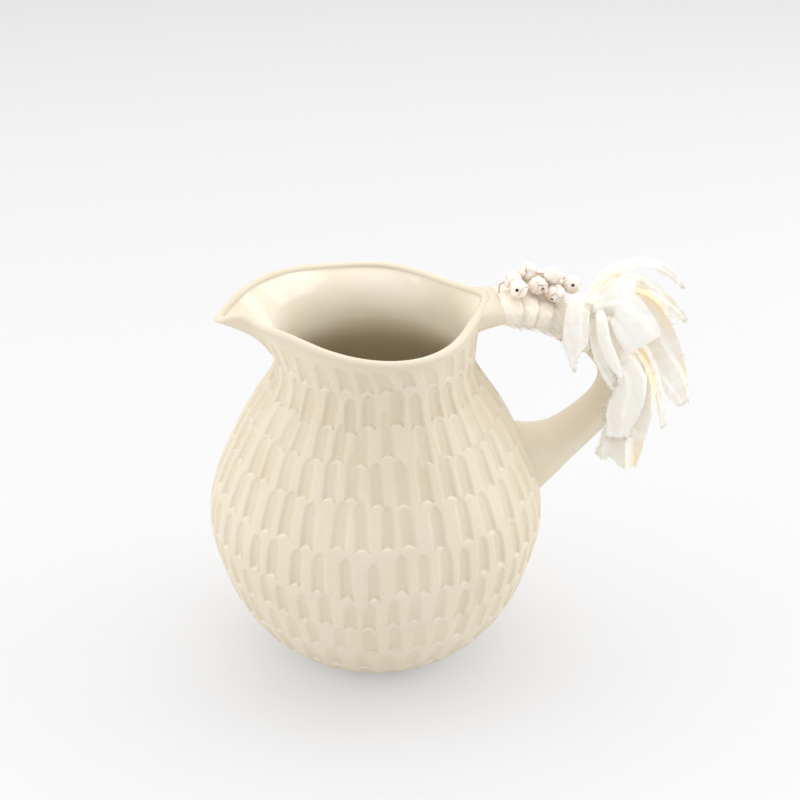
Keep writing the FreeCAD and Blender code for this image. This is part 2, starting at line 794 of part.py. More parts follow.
def make_strip(name, table):
    # The first section lies flat against the knot.
    stations = []
    for place, width_share, turn, crown in table:
        centre = knot_centre() + Vector(*place) * size("fringe_length")
        stations.append((centre, width_share * size("strip_width"), turn, crown))
    stations[0] = (knot_edge(table[0][0]), *stations[0][1:])
    stations = eased(stations, STRIP_STEPS)
    sections = []
    for i, (centre, width, turn, crown) in enumerate(stations):
        before = stations[i - 1][0] if i else knot_centre()
        after = stations[min(i + 1, len(stations) - 1)][0] if i else centre
        sections.append(strip_section(centre, (after - before).normalize(), width, turn, crown))
    return banded(sections, name)


# The whole jug

parts = []
vessel = feature("vessel_body", make_vessel())
handle = feature("handle", make_handle(vessel.Shape))
wrap = make_wrap(handle)
tie = feature("tie_band", make_tie(handle.Shape, wrap.Shape))
knot = feature("cloth_knot", make_knot(handle.Shape, wrap.Shape, tie.Shape))
parts += [vessel, handle, wrap, tie, knot]
parts += [make_bead(name) for name, place, hole in BEAD_SHARES]
parts += [feature(name, thread_tube(name, route)) for name, route in thread_routes().items()]
parts += [feature(name, make_strip(name, stations)) for name, stations in STRIP_SHARES.items()]
doc.recompute()

for made in doc.Objects:
    if "Invalid" in made.State or "Error" in made.State:
        raise RuntimeError(f"{made.Name} failed: {made.State}")
for part in parts:
    if part.Shape.isNull() or not part.Shape.isValid():
        raise RuntimeError(f"{part.Label} has no sound shape")

os.makedirs("parts", exist_ok=True)
for part in parts:
    expect_one_solid(part.Shape, part.Label).exportStep(f"parts/{part.Label}.step")
    box = part.Shape.BoundBox
    print(
        f"{part.Label}: volume {part.Shape.Volume:.1f},"
        f" x {box.XMin:.1f} to {box.XMax:.1f}, y {box.YMin:.1f} to {box.YMax:.1f},"
        f" z {box.ZMin:.1f} to {box.ZMax:.1f}"
    )
print("knot centre", [round(v, 3) for v in knot_centre()])
for name, (centre, hole) in BEADS.items():
    print(name, [round(v, 3) for v in centre], [round(v, 4) for v in hole])
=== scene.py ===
import math
import random

import bpy
import numpy as np
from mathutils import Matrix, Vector, noise


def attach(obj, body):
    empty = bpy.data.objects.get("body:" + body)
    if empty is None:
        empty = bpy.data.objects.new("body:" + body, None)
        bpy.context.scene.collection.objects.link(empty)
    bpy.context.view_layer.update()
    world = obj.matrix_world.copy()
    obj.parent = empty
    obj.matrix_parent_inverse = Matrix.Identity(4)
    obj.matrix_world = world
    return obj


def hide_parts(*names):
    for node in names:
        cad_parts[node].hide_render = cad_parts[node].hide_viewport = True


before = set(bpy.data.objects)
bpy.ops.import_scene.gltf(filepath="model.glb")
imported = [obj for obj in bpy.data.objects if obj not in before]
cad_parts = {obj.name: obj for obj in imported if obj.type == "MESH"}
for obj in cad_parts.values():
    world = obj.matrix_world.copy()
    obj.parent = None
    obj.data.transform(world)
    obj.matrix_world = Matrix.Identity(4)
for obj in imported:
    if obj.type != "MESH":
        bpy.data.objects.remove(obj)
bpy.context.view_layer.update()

MM = 0.001
SEED = 7

# --- sizes, mm

FOOT_RADIUS = 31.5
BELLY_RADIUS = 74.0
BELLY_HEIGHT = 66.0
NECK_RADIUS = 43.3
NECK_HEIGHT = 141.5
WALL = 4.0
FLOOR_THICKNESS = 5.0
FLOOR_RADIUS = 27.0
MOUTH_LENGTH = 113.0
MOUTH_WIDTH = 100.4
MOUTH_SHIFT = 9.0
RIM_HEIGHT = 164.2
RIM_RISE = 7.5

FLANK = (
    (0.00, 0.00), (0.03, 0.115), (0.08, 0.23), (0.18, 0.43), (0.33, 0.63),
    (0.53, 0.807), (0.76, 0.927), (1.00, 1.00),
)
SHOULDER = (
    (0.16, 0.03), (0.34, 0.17), (0.50, 0.35), (0.65, 0.53), (0.80, 0.76),
    (0.92, 0.94), (1.00, 1.00),
)
THROAT = ((0.0, 0.0), (0.20, 0.04), (0.42, 0.16), (0.64, 0.37), (0.84, 0.68), (1.00, 1.00))
MOUTH = (
    (0.0, 1.000, 0.000, 0.56), (10.0, 0.943, 0.185, 0.41),
    (25.0, 0.820, 0.430, 0.17), (45.0, 0.647, 0.728, 0.01),
    (67.0, 0.360, 0.970, 0.02), (90.0, 0.000, 0.980, 0.17),
    (112.0, -0.305, 0.838, 0.53), (135.0, -0.548, 0.617, 0.88),
    (155.0, -0.735, 0.383, 1.00), (171.0, -0.882, 0.157, 0.80),
    (180.0, -1.000, 0.000, 0.21),
)

TURN = 2 * math.pi

# --- vectors and splines

def unit(v):
    """Vectors at length 1."""
    v = np.asarray(v, float)
    return v / np.linalg.norm(v, axis=-1, keepdims=True)


def natural_spline(knots, values):
    """A cubic spline through the values, as a function of an array."""
    t = np.asarray(knots, float)
    y = np.asarray(values, float)
    if y.ndim == 1:
        y = y[:, None]
    n = len(t)
    h = np.diff(t)
    a = np.zeros((n, n))
    b = np.zeros((n, y.shape[1]))
    a[0, 0] = a[-1, -1] = 1.0
    for i in range(1, n - 1):
        a[i, i - 1] = h[i - 1]
        a[i, i] = 2 * (h[i - 1] + h[i])
        a[i, i + 1] = h[i]
        b[i] = 3 * ((y[i + 1] - y[i]) / h[i] - (y[i] - y[i - 1]) / h[i - 1])
    c = np.linalg.solve(a, b)

    def curve(x):
        x = np.atleast_1d(np.asarray(x, float))
        i = np.clip(np.searchsorted(t, x, side="right") - 1, 0, n - 2)
        dx = (x - t[i])[:, None]
        hi = h[i][:, None]
        slope = (y[i + 1] - y[i]) / hi - hi * (2 * c[i] + c[i + 1]) / 3
        cube = (c[i + 1] - c[i]) / (3 * hi)
        return y[i] + dx * (slope + dx * (c[i] + dx * cube))

    return curve


def chord_spline(points):
    points = np.asarray(points, float)
    steps = np.linalg.norm(np.diff(points, axis=0), axis=1)
    knots = np.r_[0, np.cumsum(steps)]
    return natural_spline(knots, points), knots


def arc_table(curve, end):
    """Points of a curve and the length run to each."""
    p = curve(np.linspace(0.0, end, 3000))
    run = np.r_[0, np.cumsum(np.linalg.norm(np.diff(p, axis=0), axis=1))]
    return run, p


def at_run(table, runs):
    run, p = table
    return np.stack([np.interp(runs, run, p[:, k]) for k in range(p.shape[1])], axis=1)


# --- the wall

def outline_points():
    bulge, narrowing = BELLY_RADIUS - FOOT_RADIUS, BELLY_RADIUS - NECK_RADIUS
    rise = NECK_HEIGHT - BELLY_HEIGHT
    rows = [(FOOT_RADIUS + out * bulge, up * BELLY_HEIGHT) for up, out in FLANK]
    return rows + [(BELLY_RADIUS - s * narrowing, BELLY_HEIGHT + up * rise) for up, s in SHOULDER]


def meridian_table(rows):
    rows = list(rows)
    beyond = (rows[-2][0], 2 * rows[-1][1] - rows[-2][1])
    curve, knots = chord_spline(rows + [beyond])
    return arc_table(curve, knots[-2])


OUTER = meridian_table(outline_points())
OUTER_LENGTH = float(OUTER[0][-1])


def inner_points():
    rows = outline_points()
    inner = [(FLOOR_RADIUS, FLOOR_THICKNESS)]
    for (r0, z0), (r, z), (r1, z1) in zip(rows, rows[1:], rows[2:]):
        run = math.hypot(r1 - r0, z1 - z0)
        radius = r - WALL * (z1 - z0) / run
        height = z + WALL * (r1 - r0) / run
        if radius > FLOOR_RADIUS and height > FLOOR_THICKNESS + WALL / 2:
            inner.append((radius, height))
    return inner + [(NECK_RADIUS - WALL, NECK_HEIGHT)]


INNER = meridian_table(inner_points())


def mouth_curve():
    """The middle line of the lip, as a function of the degrees round it."""
    rows = list(MOUTH) + [(360 - a, x, -y, z) for a, x, y, z in reversed(MOUTH[1:-1])]
    wrapped = [(a - 360, x, y, z) for a, x, y, z in rows[-6:]] + rows
    wrapped += [(a + 360, x, y, z) for a, x, y, z in rows[:6]]
    places = [(x * MOUTH_LENGTH / 2 - MOUTH_SHIFT, y * MOUTH_WIDTH / 2, RIM_HEIGHT + z * RIM_RISE)
              for _, x, y, z in wrapped]
    return natural_spline([row[0] for row in wrapped], places)


MOUTH_LINE = mouth_curve()
THROAT_OPENING = natural_spline([-0.2] + [u for u, o in THROAT], [0.04] + [o for u, o in THROAT])

COLUMNS = 800
BODY_ROWS = 264
THROAT_ROWS = 44
LIP_ROWS = 9
INNER_THROAT_ROWS = 17
INSIDE_ROWS = 46

# Gouge rows: length along the wall from the foot to the lower ends, count
# round the wall, mark length, depth, and the marks seen in front as degrees
# round the wall with how far each lies off the row.
GOUGE_ROWS = (
    (18.0, 30, 14.0, 0.55, ()),
    (31.5, 36, 17.0, 0.70, ((-115.4, 1.5), (-103.2, 0.0), (-92.3, -1.5))),
    (50.5, 42, 16.0, 0.80, (
        (-128.8, -1.0), (-120.0, 0.5), (-110.5, 0.0), (-99.6, -1.0), (-91.0, 1.0), (-82.4, 0.5),
        (-74.5, 0.0), (-66.5, 1.2),
    )),
    (67.4, 46, 16.0, 0.95, (
        (-122.4, -1.2), (-114.6, 0.0), (-106.5, -1.7), (-100.0, -1.1), (-91.9, 1.1), (-85.0, 2.0),
        (-76.6, 0.7), (-68.1, -0.9), (-61.1, 0.5),
    )),
    (85.0, 44, 17.5, 1.05, (
        (-134.0, 1.0), (-124.6, 0.8), (-116.5, 0.0), (-106.9, -1.5), (-98.2, -2.0), (-89.4, 1.0),
        (-82.3, -0.3), (-74.4, 0.4), (-67.9, -0.4), (-60.0, 1.1),
    )),
    (104.3, 39, 19.0, 1.05, (
        (-138.5, 0.0), (-130.9, 1.3), (-121.6, -0.7), (-110.5, 1.2), (-102.1, 0.9), (-93.6, 1.4),
        (-86.4, 1.9), (-75.7, -1.0), (-65.0, -1.3), (-54.4, -2.3), (-44.2, -2.6),
    )),
    (123.0, 37, 18.5, 1.0, (
        (-126.0, 0.4), (-115.5, 1.8), (-106.7, 2.9), (-96.8, 0.6), (-87.1, -0.3), (-77.9, 0.1),
        (-68.1, -0.6), (-60.5, -2.3), (-48.8, -2.8),
    )),
    (140.0, 35, 17.5, 0.80, ((-92.1, 3.5), (-75.1, -1.0), (-65.3, -1.0), (-54.2, -1.2))),
    (154.5, 31, 15.0, 1.15, ()),
    (170.5, 30, 13.0, 0.80, ()),
)
GOUGE_HALF_WIDTH = 3.3


def gouges():
    """All marks: degrees, run of the lower end, length, half width, depth, lean."""
    rng = random.Random(SEED)
    marks = []
    for base, count, length, depth, seen in GOUGE_ROWS:
        pitch = 360.0 / count
        angles = list(seen) or [(rng.uniform(0, pitch), rng.uniform(-1.0, 1.0))]
        last = angles[-1][0]
        stop = angles[0][0] + 360.0
        free = max(1, round((stop - last) / pitch))
        step = (stop - last) / free
        for k in range(1, free):
            angles.append((last + k * step + rng.uniform(-0.12, 0.12) * step, rng.gauss(0, 1.1)))
        for angle, off in angles:
            long = length + rng.uniform(-1.2, 1.2)
            half = GOUGE_HALF_WIDTH * rng.uniform(0.92, 1.06) * min(1.0, pitch / 8.8)
            deep = depth * rng.uniform(0.85, 1.15)
            marks.append((angle % 360.0, base + off, long, half, deep, rng.gauss(0, 0.035)))
    return marks


# A mark's shape, mm: how far its lower step arches up in the middle, how far
# the step's ends lie below that, its height along the wall and the burr on it.
# The burr also carries a painted highlight in the clay's colour.
STEP_ARCH, STEP_DROP, STEP_RISE = 1.7, 1.1, 0.55
BURR_AT, BURR_LENGTH, BURR_HEIGHT = 0.10, 0.45, 0.10
# The width of a mark's bevelled sides, as a share of its half width.
BEVEL = 0.60
# No mark is cut under the handle's lower root: degrees to each side of it, and
# from which run of the wall to which.
ROOT_SIDE, ROOT_FROM, ROOT_TO = 15.0, 84.0, 135.0


def gouge_depth(degrees, runs, radii):
    """How deep the marks cut at each vertex, and how much of a burr and its painted highlight it
    carries.
    """
    depth = np.zeros_like(degrees)
    burr_and_highlight = np.zeros_like(degrees)
    for angle, foot, length, half, deep, lean in gouges():
        if abs((angle + 180.0) % 360.0 - 180.0) < ROOT_SIDE and ROOT_FROM < foot < ROOT_TO:
            continue
        around = (degrees - angle + 180.0) % 360.0 - 180.0
        across = np.radians(around) * radii
        up = runs - foot
        near = (np.abs(across) < 1.6 * half + 1.5) & (up > -4.0) & (up < length + 2.0)
        t = up[near]
        side = (across[near] - lean * t) / half
        # The lower end is a step that arches up in the middle.
        end = STEP_ARCH * (1 - side * side) - STEP_DROP
        rise = np.clip((t - end) / STEP_RISE, 0, 1)
        rise = rise * rise * (3 - 2 * rise)
        # The top is a round arch, and the sides are bevels.
        arch = np.clip((t - (length - 1.5 * half)) / (1.5 * half), 0, 1)
        edge = np.sqrt(np.clip(1 - arch * arch, 0, 1)) - np.abs(side)
        bevel = np.clip(edge / BEVEL, 0, 1)
        bevel = bevel * (2 - bevel)
        cut = 1.25 * deep * bevel * rise * (0.55 + 0.45 * np.clip(1 - t / length, 0, 1))
        depth[near] = np.maximum(depth[near], cut)
        # The burr just below each step; its amount also sets a painted highlight in the clay.
        burr_and_highlight_amount = np.exp(-((t - end - BURR_AT) / BURR_LENGTH) ** 2)
        burr_and_highlight_amount = burr_and_highlight_amount * np.clip((0.95 - np.abs(side)) / 0.45, 0, 1)
        share = 0.35 + 0.65 * abs(math.sin(12.9 * angle + foot))
        burr_and_highlight[near] = np.maximum(burr_and_highlight[near], burr_and_highlight_amount * share * min(1.0, deep))
    return depth, burr_and_highlight


# --- meshes

def quads(rows, columns, closed, base=0):
    """Faces through a grid of vertices that starts at base."""
    last = columns if closed else columns - 1
    index = base + np.arange(rows * columns).reshape(rows, columns)
    following = np.roll(index, -1, axis=1)
    corners = (index[:-1], following[:-1], following[1:], index[1:])
    return np.stack([c[:, :last].ravel() for c in corners], axis=1).tolist()


def add_object(name, data):
    obj = bpy.data.objects.new(name, data)
    bpy.context.scene.collection.objects.link(obj)
    return obj


def mesh_object(name, verts, faces):
    """A smooth mesh from places in mm."""
    mesh = bpy.data.meshes.new(name)
    mesh.from_pydata((np.asarray(verts) * MM).tolist(), [], faces)
    mesh.validate()
    mesh.shade_smooth()
    return add_object(name, mesh)


def grid_mesh(name, points, closed=True, capped=False):
    """A mesh through points[row][column]."""
    rows, columns = points.shape[:2]
    faces = quads(rows, columns, closed)
    if capped:
        faces.append(list(range(columns))[::-1])
        faces.append(list(range((rows - 1) * columns, rows * columns)))
    return mesh_object(name, points.reshape(-1, 3), faces)


def set_points(obj, name, values):
    """A number at each vertex, which the material reads."""
    layer = obj.data.attributes.new(name, "FLOAT", "POINT")
    layer.data.foreach_set("value", np.asarray(values, np.float32).ravel())


def set_uv(obj, uv):
    """uv[vertex], spread to the corners of the faces."""
    layer = obj.data.uv_layers.new(name="cloth")
    flat = np.asarray(uv, float).reshape(-1, 2)
    corners = np.empty(len(obj.data.loops), np.int32)
    obj.data.loops.foreach_get("vertex_index", corners)
    layer.data.foreach_set("uv", flat[corners].ravel())


def dress(obj, body, node, slot, *materials):
    """Gives a piece its materials, its body and the node it replaces. The slot is not used."""
    for material in materials:
        obj.data.materials.append(material)
    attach(obj, body)
    if node:
        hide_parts(node)


# Rings under the foot, slightly hollowed, with a soft corner: radius, height.
FOOT_RINGS = ((1.0, 0.6), (15.0, 0.6), (25.5, 0.45), (29.0, 0.0), (30.6, 0.0))
# Radii of the last rings on the inside's floor.
FLOOR_RINGS = (15.0, 1.0)
# Runs given to rows that no mark reaches.
UNDER_FOOT, PAST_MARKS = -5.0, 400.0
OUTSIDE, INSIDE = 0, 1
# How far the skin lies inside the nominal wall, and the throwing's unevenness.
SKIN_INSET, WANDER = 0.25, 0.6


def make_wall():
    """Outside, lip and inside of the thrown wall as one skin of quads."""
    degrees = np.arange(COLUMNS) * 360.0 / COLUMNS
    phi = np.radians(degrees)
    cos, sin = np.cos(phi), np.sin(phi)
    crest = MOUTH_LINE(degrees)
    run = MOUTH_LINE(degrees + 0.5) - MOUTH_LINE(degrees - 0.5)
    outward = unit(np.stack([run[:, 1], -run[:, 0], np.zeros(COLUMNS)], axis=1))
    half = WALL / 2
    rings, runs, kinds = [], [], []

    def add(ring, along, kind):
        rings.append(ring)
        runs.append(np.full(COLUMNS, along) if np.isscalar(along) else along)
        kinds.append(kind)

    def circle(radius, height, along, kind):
        add(np.stack([radius * cos, radius * sin, np.full(COLUMNS, height)], 1), along, kind)

    def throat(up, side):
        opening = float(THROAT_OPENING(up)[0, 0])
        radius = NECK_RADIUS - half + side * half
        low = np.stack([radius * cos, radius * sin], 1)
        high = crest[:, :2] + outward[:, :2] * (side * half)
        place = low + (high - low) * opening
        height = NECK_HEIGHT + up * (crest[:, 2] - half - NECK_HEIGHT)
        return np.concatenate([place, height[:, None]], 1)

    for radius, height in FOOT_RINGS:
        circle(radius, height, UNDER_FOOT, OUTSIDE)
    body_runs = np.linspace(0.6, OUTER_LENGTH, BODY_ROWS)
    for along, (radius, height) in zip(body_runs, at_run(OUTER, body_runs)):
        circle(radius, height, along, OUTSIDE)
    previous = rings[-1]
    along = np.full(COLUMNS, OUTER_LENGTH)
    for up in np.linspace(0, 1, THROAT_ROWS + 1)[1:]:
        ring = throat(up, 1)
        along = along + np.linalg.norm(ring - previous, axis=1)
        add(ring, along, OUTSIDE)
        previous = ring
    outside_rows = len(rings)
    for angle in np.linspace(0, math.pi, LIP_ROWS + 2)[1:-1]:
        ring = crest + outward * (half * math.cos(angle))
        ring[:, 2] += half * (math.sin(angle) - 1)
        add(ring, PAST_MARKS, OUTSIDE)
    for up in np.linspace(1, 0, INNER_THROAT_ROWS):
        add(throat(up, -1), PAST_MARKS, INSIDE)
    for radius, height in at_run(INNER, np.linspace(INNER[0][-1], 0.0, INSIDE_ROWS)[1:]):
        circle(radius, height, PAST_MARKS, INSIDE)
    for radius in FLOOR_RINGS:
        circle(radius, FLOOR_THICKNESS, PAST_MARKS, INSIDE)

    points = np.array(rings)
    runs = np.array(runs)[:outside_rows]
    # The marks and a little hand-made wander go in along the outside's normals.
    outer = points[:outside_rows]
    d_col = np.roll(outer, -1, axis=1) - np.roll(outer, 1, axis=1)
    normal = unit(np.cross(d_col, np.gradient(outer, axis=0)))
    radii = np.hypot(outer[..., 0], outer[..., 1])
    cut, burr_and_highlight = gouge_depth(np.broadcast_to(degrees, radii.shape).copy(), runs, radii)
    height = outer[..., 2]
    wander = 0.10 * np.sin(3 * phi + height * 0.05) + 0.08 * np.sin(7 * phi - height * 0.11)
    wander *= np.clip(runs / 20.0, 0, 1)
    clear = np.clip((runs - 4.0) / 4.0, 0, 1)
    inset = (cut - BURR_HEIGHT * burr_and_highlight) * clear + SKIN_INSET + wander * WANDER
    above_foot = np.clip((runs + 5.0) / 8.0, 0, 1)[..., None]
    points[:outside_rows] = outer - normal * inset[..., None] * above_foot
    wall = grid_mesh("jug_wall", points, capped=True)
    # The clay's colour reads these: painted shade in the marks by their depth, and a painted
    # highlight on their burrs.
    for name, values in (("gouge", np.clip(cut / 0.9, 0, 1)), ("burr_and_highlight", burr_and_highlight * clear)):
        marked = np.zeros(points.shape[:2])
        marked[:outside_rows] = values
        set_points(wall, name, marked)
    dress(wall, "jug", "vessel_body", "stoneware", CLAY, GLAZE)
    kinds = np.append(np.repeat(kinds[:-1], COLUMNS), (OUTSIDE, INSIDE))
    wall.data.polygons.foreach_set("material_index", kinds.astype(np.int32))


# --- materials

WHITE = (1.0, 1.0, 1.0, 1.0)
BLACK = (0.0, 0.0, 0.0, 1.0)


def srgb(*levels):
    """A colour of three levels up to 255, as linear light."""
    shares = [level / 255.0 for level in levels]
    return (*(v / 12.92 if v <= 0.04045 else ((v + 0.055) / 1.055) ** 2.4 for v in shares), 1.0)


class Nodes:
    """A short way to write the nodes of a material or of the world."""

    def __init__(self, owner, shader="Principled BSDF"):
        owner.use_nodes = True
        self.owner = owner
        self.tree = owner.node_tree
        self.shader = self.tree.nodes[shader]
        self.place = self.add("ShaderNodeTexCoord").outputs["Object"]

    def add(self, kind, **values):
        node = self.tree.nodes.new(kind)
        for key, value in values.items():
            if hasattr(node, key):
                setattr(node, key, value)
            else:
                node.inputs[key.replace("_", " ")].default_value = value
        return node

    def set(self, **values):
        for key, value in values.items():
            self.shader.inputs[key.replace("_", " ")].default_value = value

    def link(self, source, target):
        self.tree.links.new(source, target)

    def into(self, source, name):
        self.link(source, self.shader.inputs[name])

    def feed(self, values, sockets):
        for value, socket in zip(values, sockets):
            if isinstance(value, (int, float, tuple)):
                socket.default_value = value
            else:
                self.link(value, socket)

    def attribute(self, name):
        return self.add("ShaderNodeAttribute", attribute_name=name).outputs["Fac"]

    def noise(self, scale, detail=3.0, rough=0.5, output="Fac"):
        node = self.add("ShaderNodeTexNoise", Scale=scale, Detail=detail, Roughness=rough)
        self.link(self.place, node.inputs["Vector"])
        return node.outputs[output]

    def ramp(self, source, stops):
        node = self.add("ShaderNodeValToRGB")
        ramp = node.color_ramp
        while len(ramp.elements) < len(stops):
            ramp.elements.new(0.5)
        for element, (at, colour) in zip(ramp.elements, stops):
            element.position = at
            element.color = colour
        self.link(source, node.inputs["Fac"])
        return node.outputs["Color"]

    def mix(self, factor, first, second, kind="MIX"):
        node = self.add("ShaderNodeMix", data_type="RGBA", blend_type=kind)
        self.feed((factor, first, second), (node.inputs[0], node.inputs[6], node.inputs[7]))
        return node.outputs[2]

    def maths(self, kind, *values):
        node = self.add("ShaderNodeMath", operation=kind)
        self.feed(values, node.inputs)
        return node.outputs[0]

    def bump(self, height, distance, strength, below=None):
        node = self.add("ShaderNodeBump", Distance=distance, Strength=strength)
        self.link(height, node.inputs["Height"])
        if below is not None:
            self.link(below, node.inputs["Normal"])
        return node.outputs["Normal"]

    def axis(self, source, letter):
        node = self.add("ShaderNodeSeparateXYZ")
        self.link(source, node.inputs[0])
        return node.outputs[letter]

    def span(self, source, low, high, first=0.0, last=1.0):
        """Maps low to first and high to last."""
        node = self.add("ShaderNodeMapRange", From_Min=low, From_Max=high, To_Min=first,
                        To_Max=last)
        self.link(source, node.inputs["Value"])
        return node.outputs[0]


def clay_material():
    n = Nodes(bpy.data.materials.new("clay_matte"))
    fine = n.noise(900.0, 2.0, 0.6)
    cloud = n.noise(22.0, 4.0, 0.55)
    base = n.ramp(cloud, ((0.30, srgb(220, 208, 185)), (0.70, srgb(227, 217, 197))))
    speck = n.ramp(fine, ((0.30, srgb(216, 200, 172)), (0.42, WHITE)))
    base = n.mix(0.14, base, speck, "MULTIPLY")
    # Painted shade: the hollows of the marks are darkened by their depth.
    painted_gouge_shade = n.ramp(n.attribute("gouge"), ((0.0, WHITE), (1.0, (0.960, 0.942, 0.912, 1.0))))
    base = n.mix(1.0, base, painted_gouge_shade, "MULTIPLY")
    # Painted highlight on the upward-facing step at each mark's lower end.
    burr_and_highlight_amount = n.maths("MULTIPLY", n.attribute("burr_and_highlight"), 0.62)
    n.into(n.mix(burr_and_highlight_amount, base, srgb(251, 246, 234)), "Base Color")
    n.into(n.maths("MULTIPLY_ADD", fine, 0.12, 0.56), "Roughness")
    low = n.bump(fine, 0.00010, 0.5)
    n.into(n.bump(n.noise(2600.0, 2.0, 0.5), 0.00004, 0.5, low), "Normal")
    n.set(Specular_IOR_Level=0.35)
    return n.owner


def glaze_material():
    n = Nodes(bpy.data.materials.new("glaze_inside"))
    base = n.ramp(n.noise(30.0), ((0.30, srgb(240, 230, 208)), (0.75, srgb(247, 239, 221))))
    # Painted shade: darker down in the belly, where the inside lies in shade.
    painted_belly_shade = n.mix(n.span(n.axis(n.place, "Z"), 0.085, 0.150), (0.72, 0.65, 0.54, 1.0), WHITE)
    n.into(n.mix(1.0, base, painted_belly_shade, "MULTIPLY"), "Base Color")
    n.set(Roughness=0.22, Coat_Weight=0.6, Coat_Roughness=0.08)
    n.into(n.bump(n.noise(160.0, 2.0), 0.0004, 0.25), "Normal")
    return n.owner


def cloth_material(name, low, high, painted_warm_shade=False):
    """Loose plain weave: two crossed sets of threads with uneven thickness."""
    n = Nodes(bpy.data.materials.new(name))
    uv = n.add("ShaderNodeTexCoord").outputs["UV"]
    threads = []
    for turn in (0.0, math.pi / 2):
        mapping = n.add("ShaderNodeMapping", Rotation=(0, 0, turn))
        n.link(uv, mapping.inputs["Vector"])
        wave = n.add("ShaderNodeTexWave", Scale=560.0, Distortion=1.2, Detail=1.0, Detail_Scale=0.6)
        n.link(mapping.outputs["Vector"], wave.inputs["Vector"])
        threads.append(wave.outputs["Fac"])
    weave = n.maths("MAXIMUM", *threads)
    base = n.ramp(n.noise(120.0, 4.0, 0.6), ((0.30, low), (0.68, high)))
    dark = n.ramp(weave, ((0.15, (0.90, 0.87, 0.82, 1.0)), (0.75, WHITE)))
    base = n.mix(0.30, base, dark, "MULTIPLY")
    # Painted warm shade: amber where the cloth lies in shade.
    if painted_warm_shade:
        painted_amber_shade = n.mix(n.attribute("painted_warm_shade"), WHITE, (1.0, 0.84, 0.62, 1.0))
        base = n.mix(1.0, base, painted_amber_shade, "MULTIPLY")
    n.into(base, "Base Color")
    n.set(Roughness=0.9, Sheen_Weight=0.25, Sheen_Roughness=0.5, Specular_IOR_Level=0.2,
          Subsurface_Weight=0.12, Subsurface_Radius=(0.002, 0.0015, 0.001))
    first = n.bump(weave, 0.00016, 0.55)
    n.into(n.bump(n.noise(700.0, 2.0, 0.6), 0.00025, 0.5, first), "Normal")
    return n.owner


def stone_material():
    """Pale stone. Its veins are the bent edges of cells, and show in patches."""
    n = Nodes(bpy.data.materials.new("bead_stone"))
    shift = n.add("ShaderNodeVectorMath", operation="SCALE", Scale=0.004)
    n.link(n.noise(260.0, 2.0, output="Color"), shift.inputs[0])
    bent = n.add("ShaderNodeVectorMath", operation="ADD")
    n.feed((n.place, shift.outputs[0]), bent.inputs)
    cells = n.add("ShaderNodeTexVoronoi", feature="DISTANCE_TO_EDGE", Scale=190.0)
    n.link(bent.outputs[0], cells.inputs["Vector"])
    grey = (0.25, 0.25, 0.25, 1.0)
    vein = n.ramp(cells.outputs["Distance"], ((0.0, WHITE), (0.035, grey), (0.09, BLACK)))
    patch = n.ramp(n.noise(240.0, 3.0, 0.6), ((0.42, BLACK), (0.60, WHITE)))
    base = n.ramp(n.noise(150.0), ((0.30, srgb(244, 230, 214)), (0.70, srgb(254, 248, 240))))
    amount = n.mix(1.0, vein, patch, "MULTIPLY")
    n.into(n.mix(amount, base, srgb(150, 118, 104)), "Base Color")
    n.set(Roughness=0.28, Subsurface_Weight=0.15, Subsurface_Radius=(0.002, 0.0014, 0.001),
          Coat_Weight=0.25, Coat_Roughness=0.15)
    return n.owner


def plain_material(name, low, high, roughness):
    n = Nodes(bpy.data.materials.new(name))
    cloud = n.noise(400.0)
    n.into(n.ramp(cloud, ((0.3, low), (0.7, high))), "Base Color")
    n.set(Roughness=roughness)
    n.into(n.bump(cloud, 0.0001, 0.4), "Normal")
    return n.owner


CLAY = clay_material()
GLAZE = glaze_material()
WRAP = cloth_material("muslin_wrap", srgb(244, 232, 213), srgb(251, 244, 230))
STRIP = cloth_material("muslin_strip", srgb(252, 247, 237), srgb(255, 254, 250), True)
FRAY = plain_material("loose_threads", srgb(240, 230, 212), srgb(253, 248, 240), 0.85)
STONE = stone_material()
# Painted shade down in the beads' drilled holes.
HOLE_SHADE = plain_material("bead_hole_shade", srgb(104, 76, 62), srgb(134, 102, 84), 0.9)
THREAD = plain_material("stitch_thread", srgb(208, 160, 140), srgb(228, 188, 168), 0.5)

make_wall()

# --- strap handle

STRAP_TOP = (NECK_RADIUS - 1.3, RIM_HEIGHT - 1.2)
STRAP_CROWN = (BELLY_RADIUS + 31.0, 122.5)
STRAP_LOW = (BELLY_RADIUS - 10.0, 81.0)
UPPER_STRAP = (
    (0.00, 0.00), (0.127, 0.01), (0.254, 0.025), (0.365, 0.054),
    (0.476, 0.109), (0.603, 0.202), (0.73, 0.341), (0.857, 0.538),
    (0.96, 0.778), (1.00, 1.00),
)
LOWER_STRAP = (
    (0.059, 0.205), (0.205, 0.373), (0.366, 0.523), (0.537, 0.667),
    (0.756, 0.831), (1.00, 1.00),
)


def strap_points():
    points = []
    for start, end, shares in (
        (STRAP_TOP, STRAP_CROWN, UPPER_STRAP),
        (STRAP_CROWN, STRAP_LOW, LOWER_STRAP),
    ):
        run_out, run_up = end[0] - start[0], end[1] - start[1]
        points += [(start[0] + out * run_out, start[1] + down * run_up) for out, down in shares]
    return points


STRAP_CURVE, STRAP_KNOTS = chord_spline(strap_points())
STRAP = arc_table(STRAP_CURVE, STRAP_KNOTS[-1])
STRAP_LENGTH = float(STRAP[0][-1])
STRAP_HALF_WIDTH, STRAP_HALF_THICK = 12.0, 4.5
HANDLE_COLUMNS, HANDLE_ROWS = 72, 160


def strap_place(station):
    """Middle of the strap and its outward side, in X and Z."""
    behind, here, ahead = at_run(STRAP, station + np.array([-0.4, 0.0, 0.4]))
    run = unit(ahead - behind)
    return here, np.array([-run[1], run[0]])


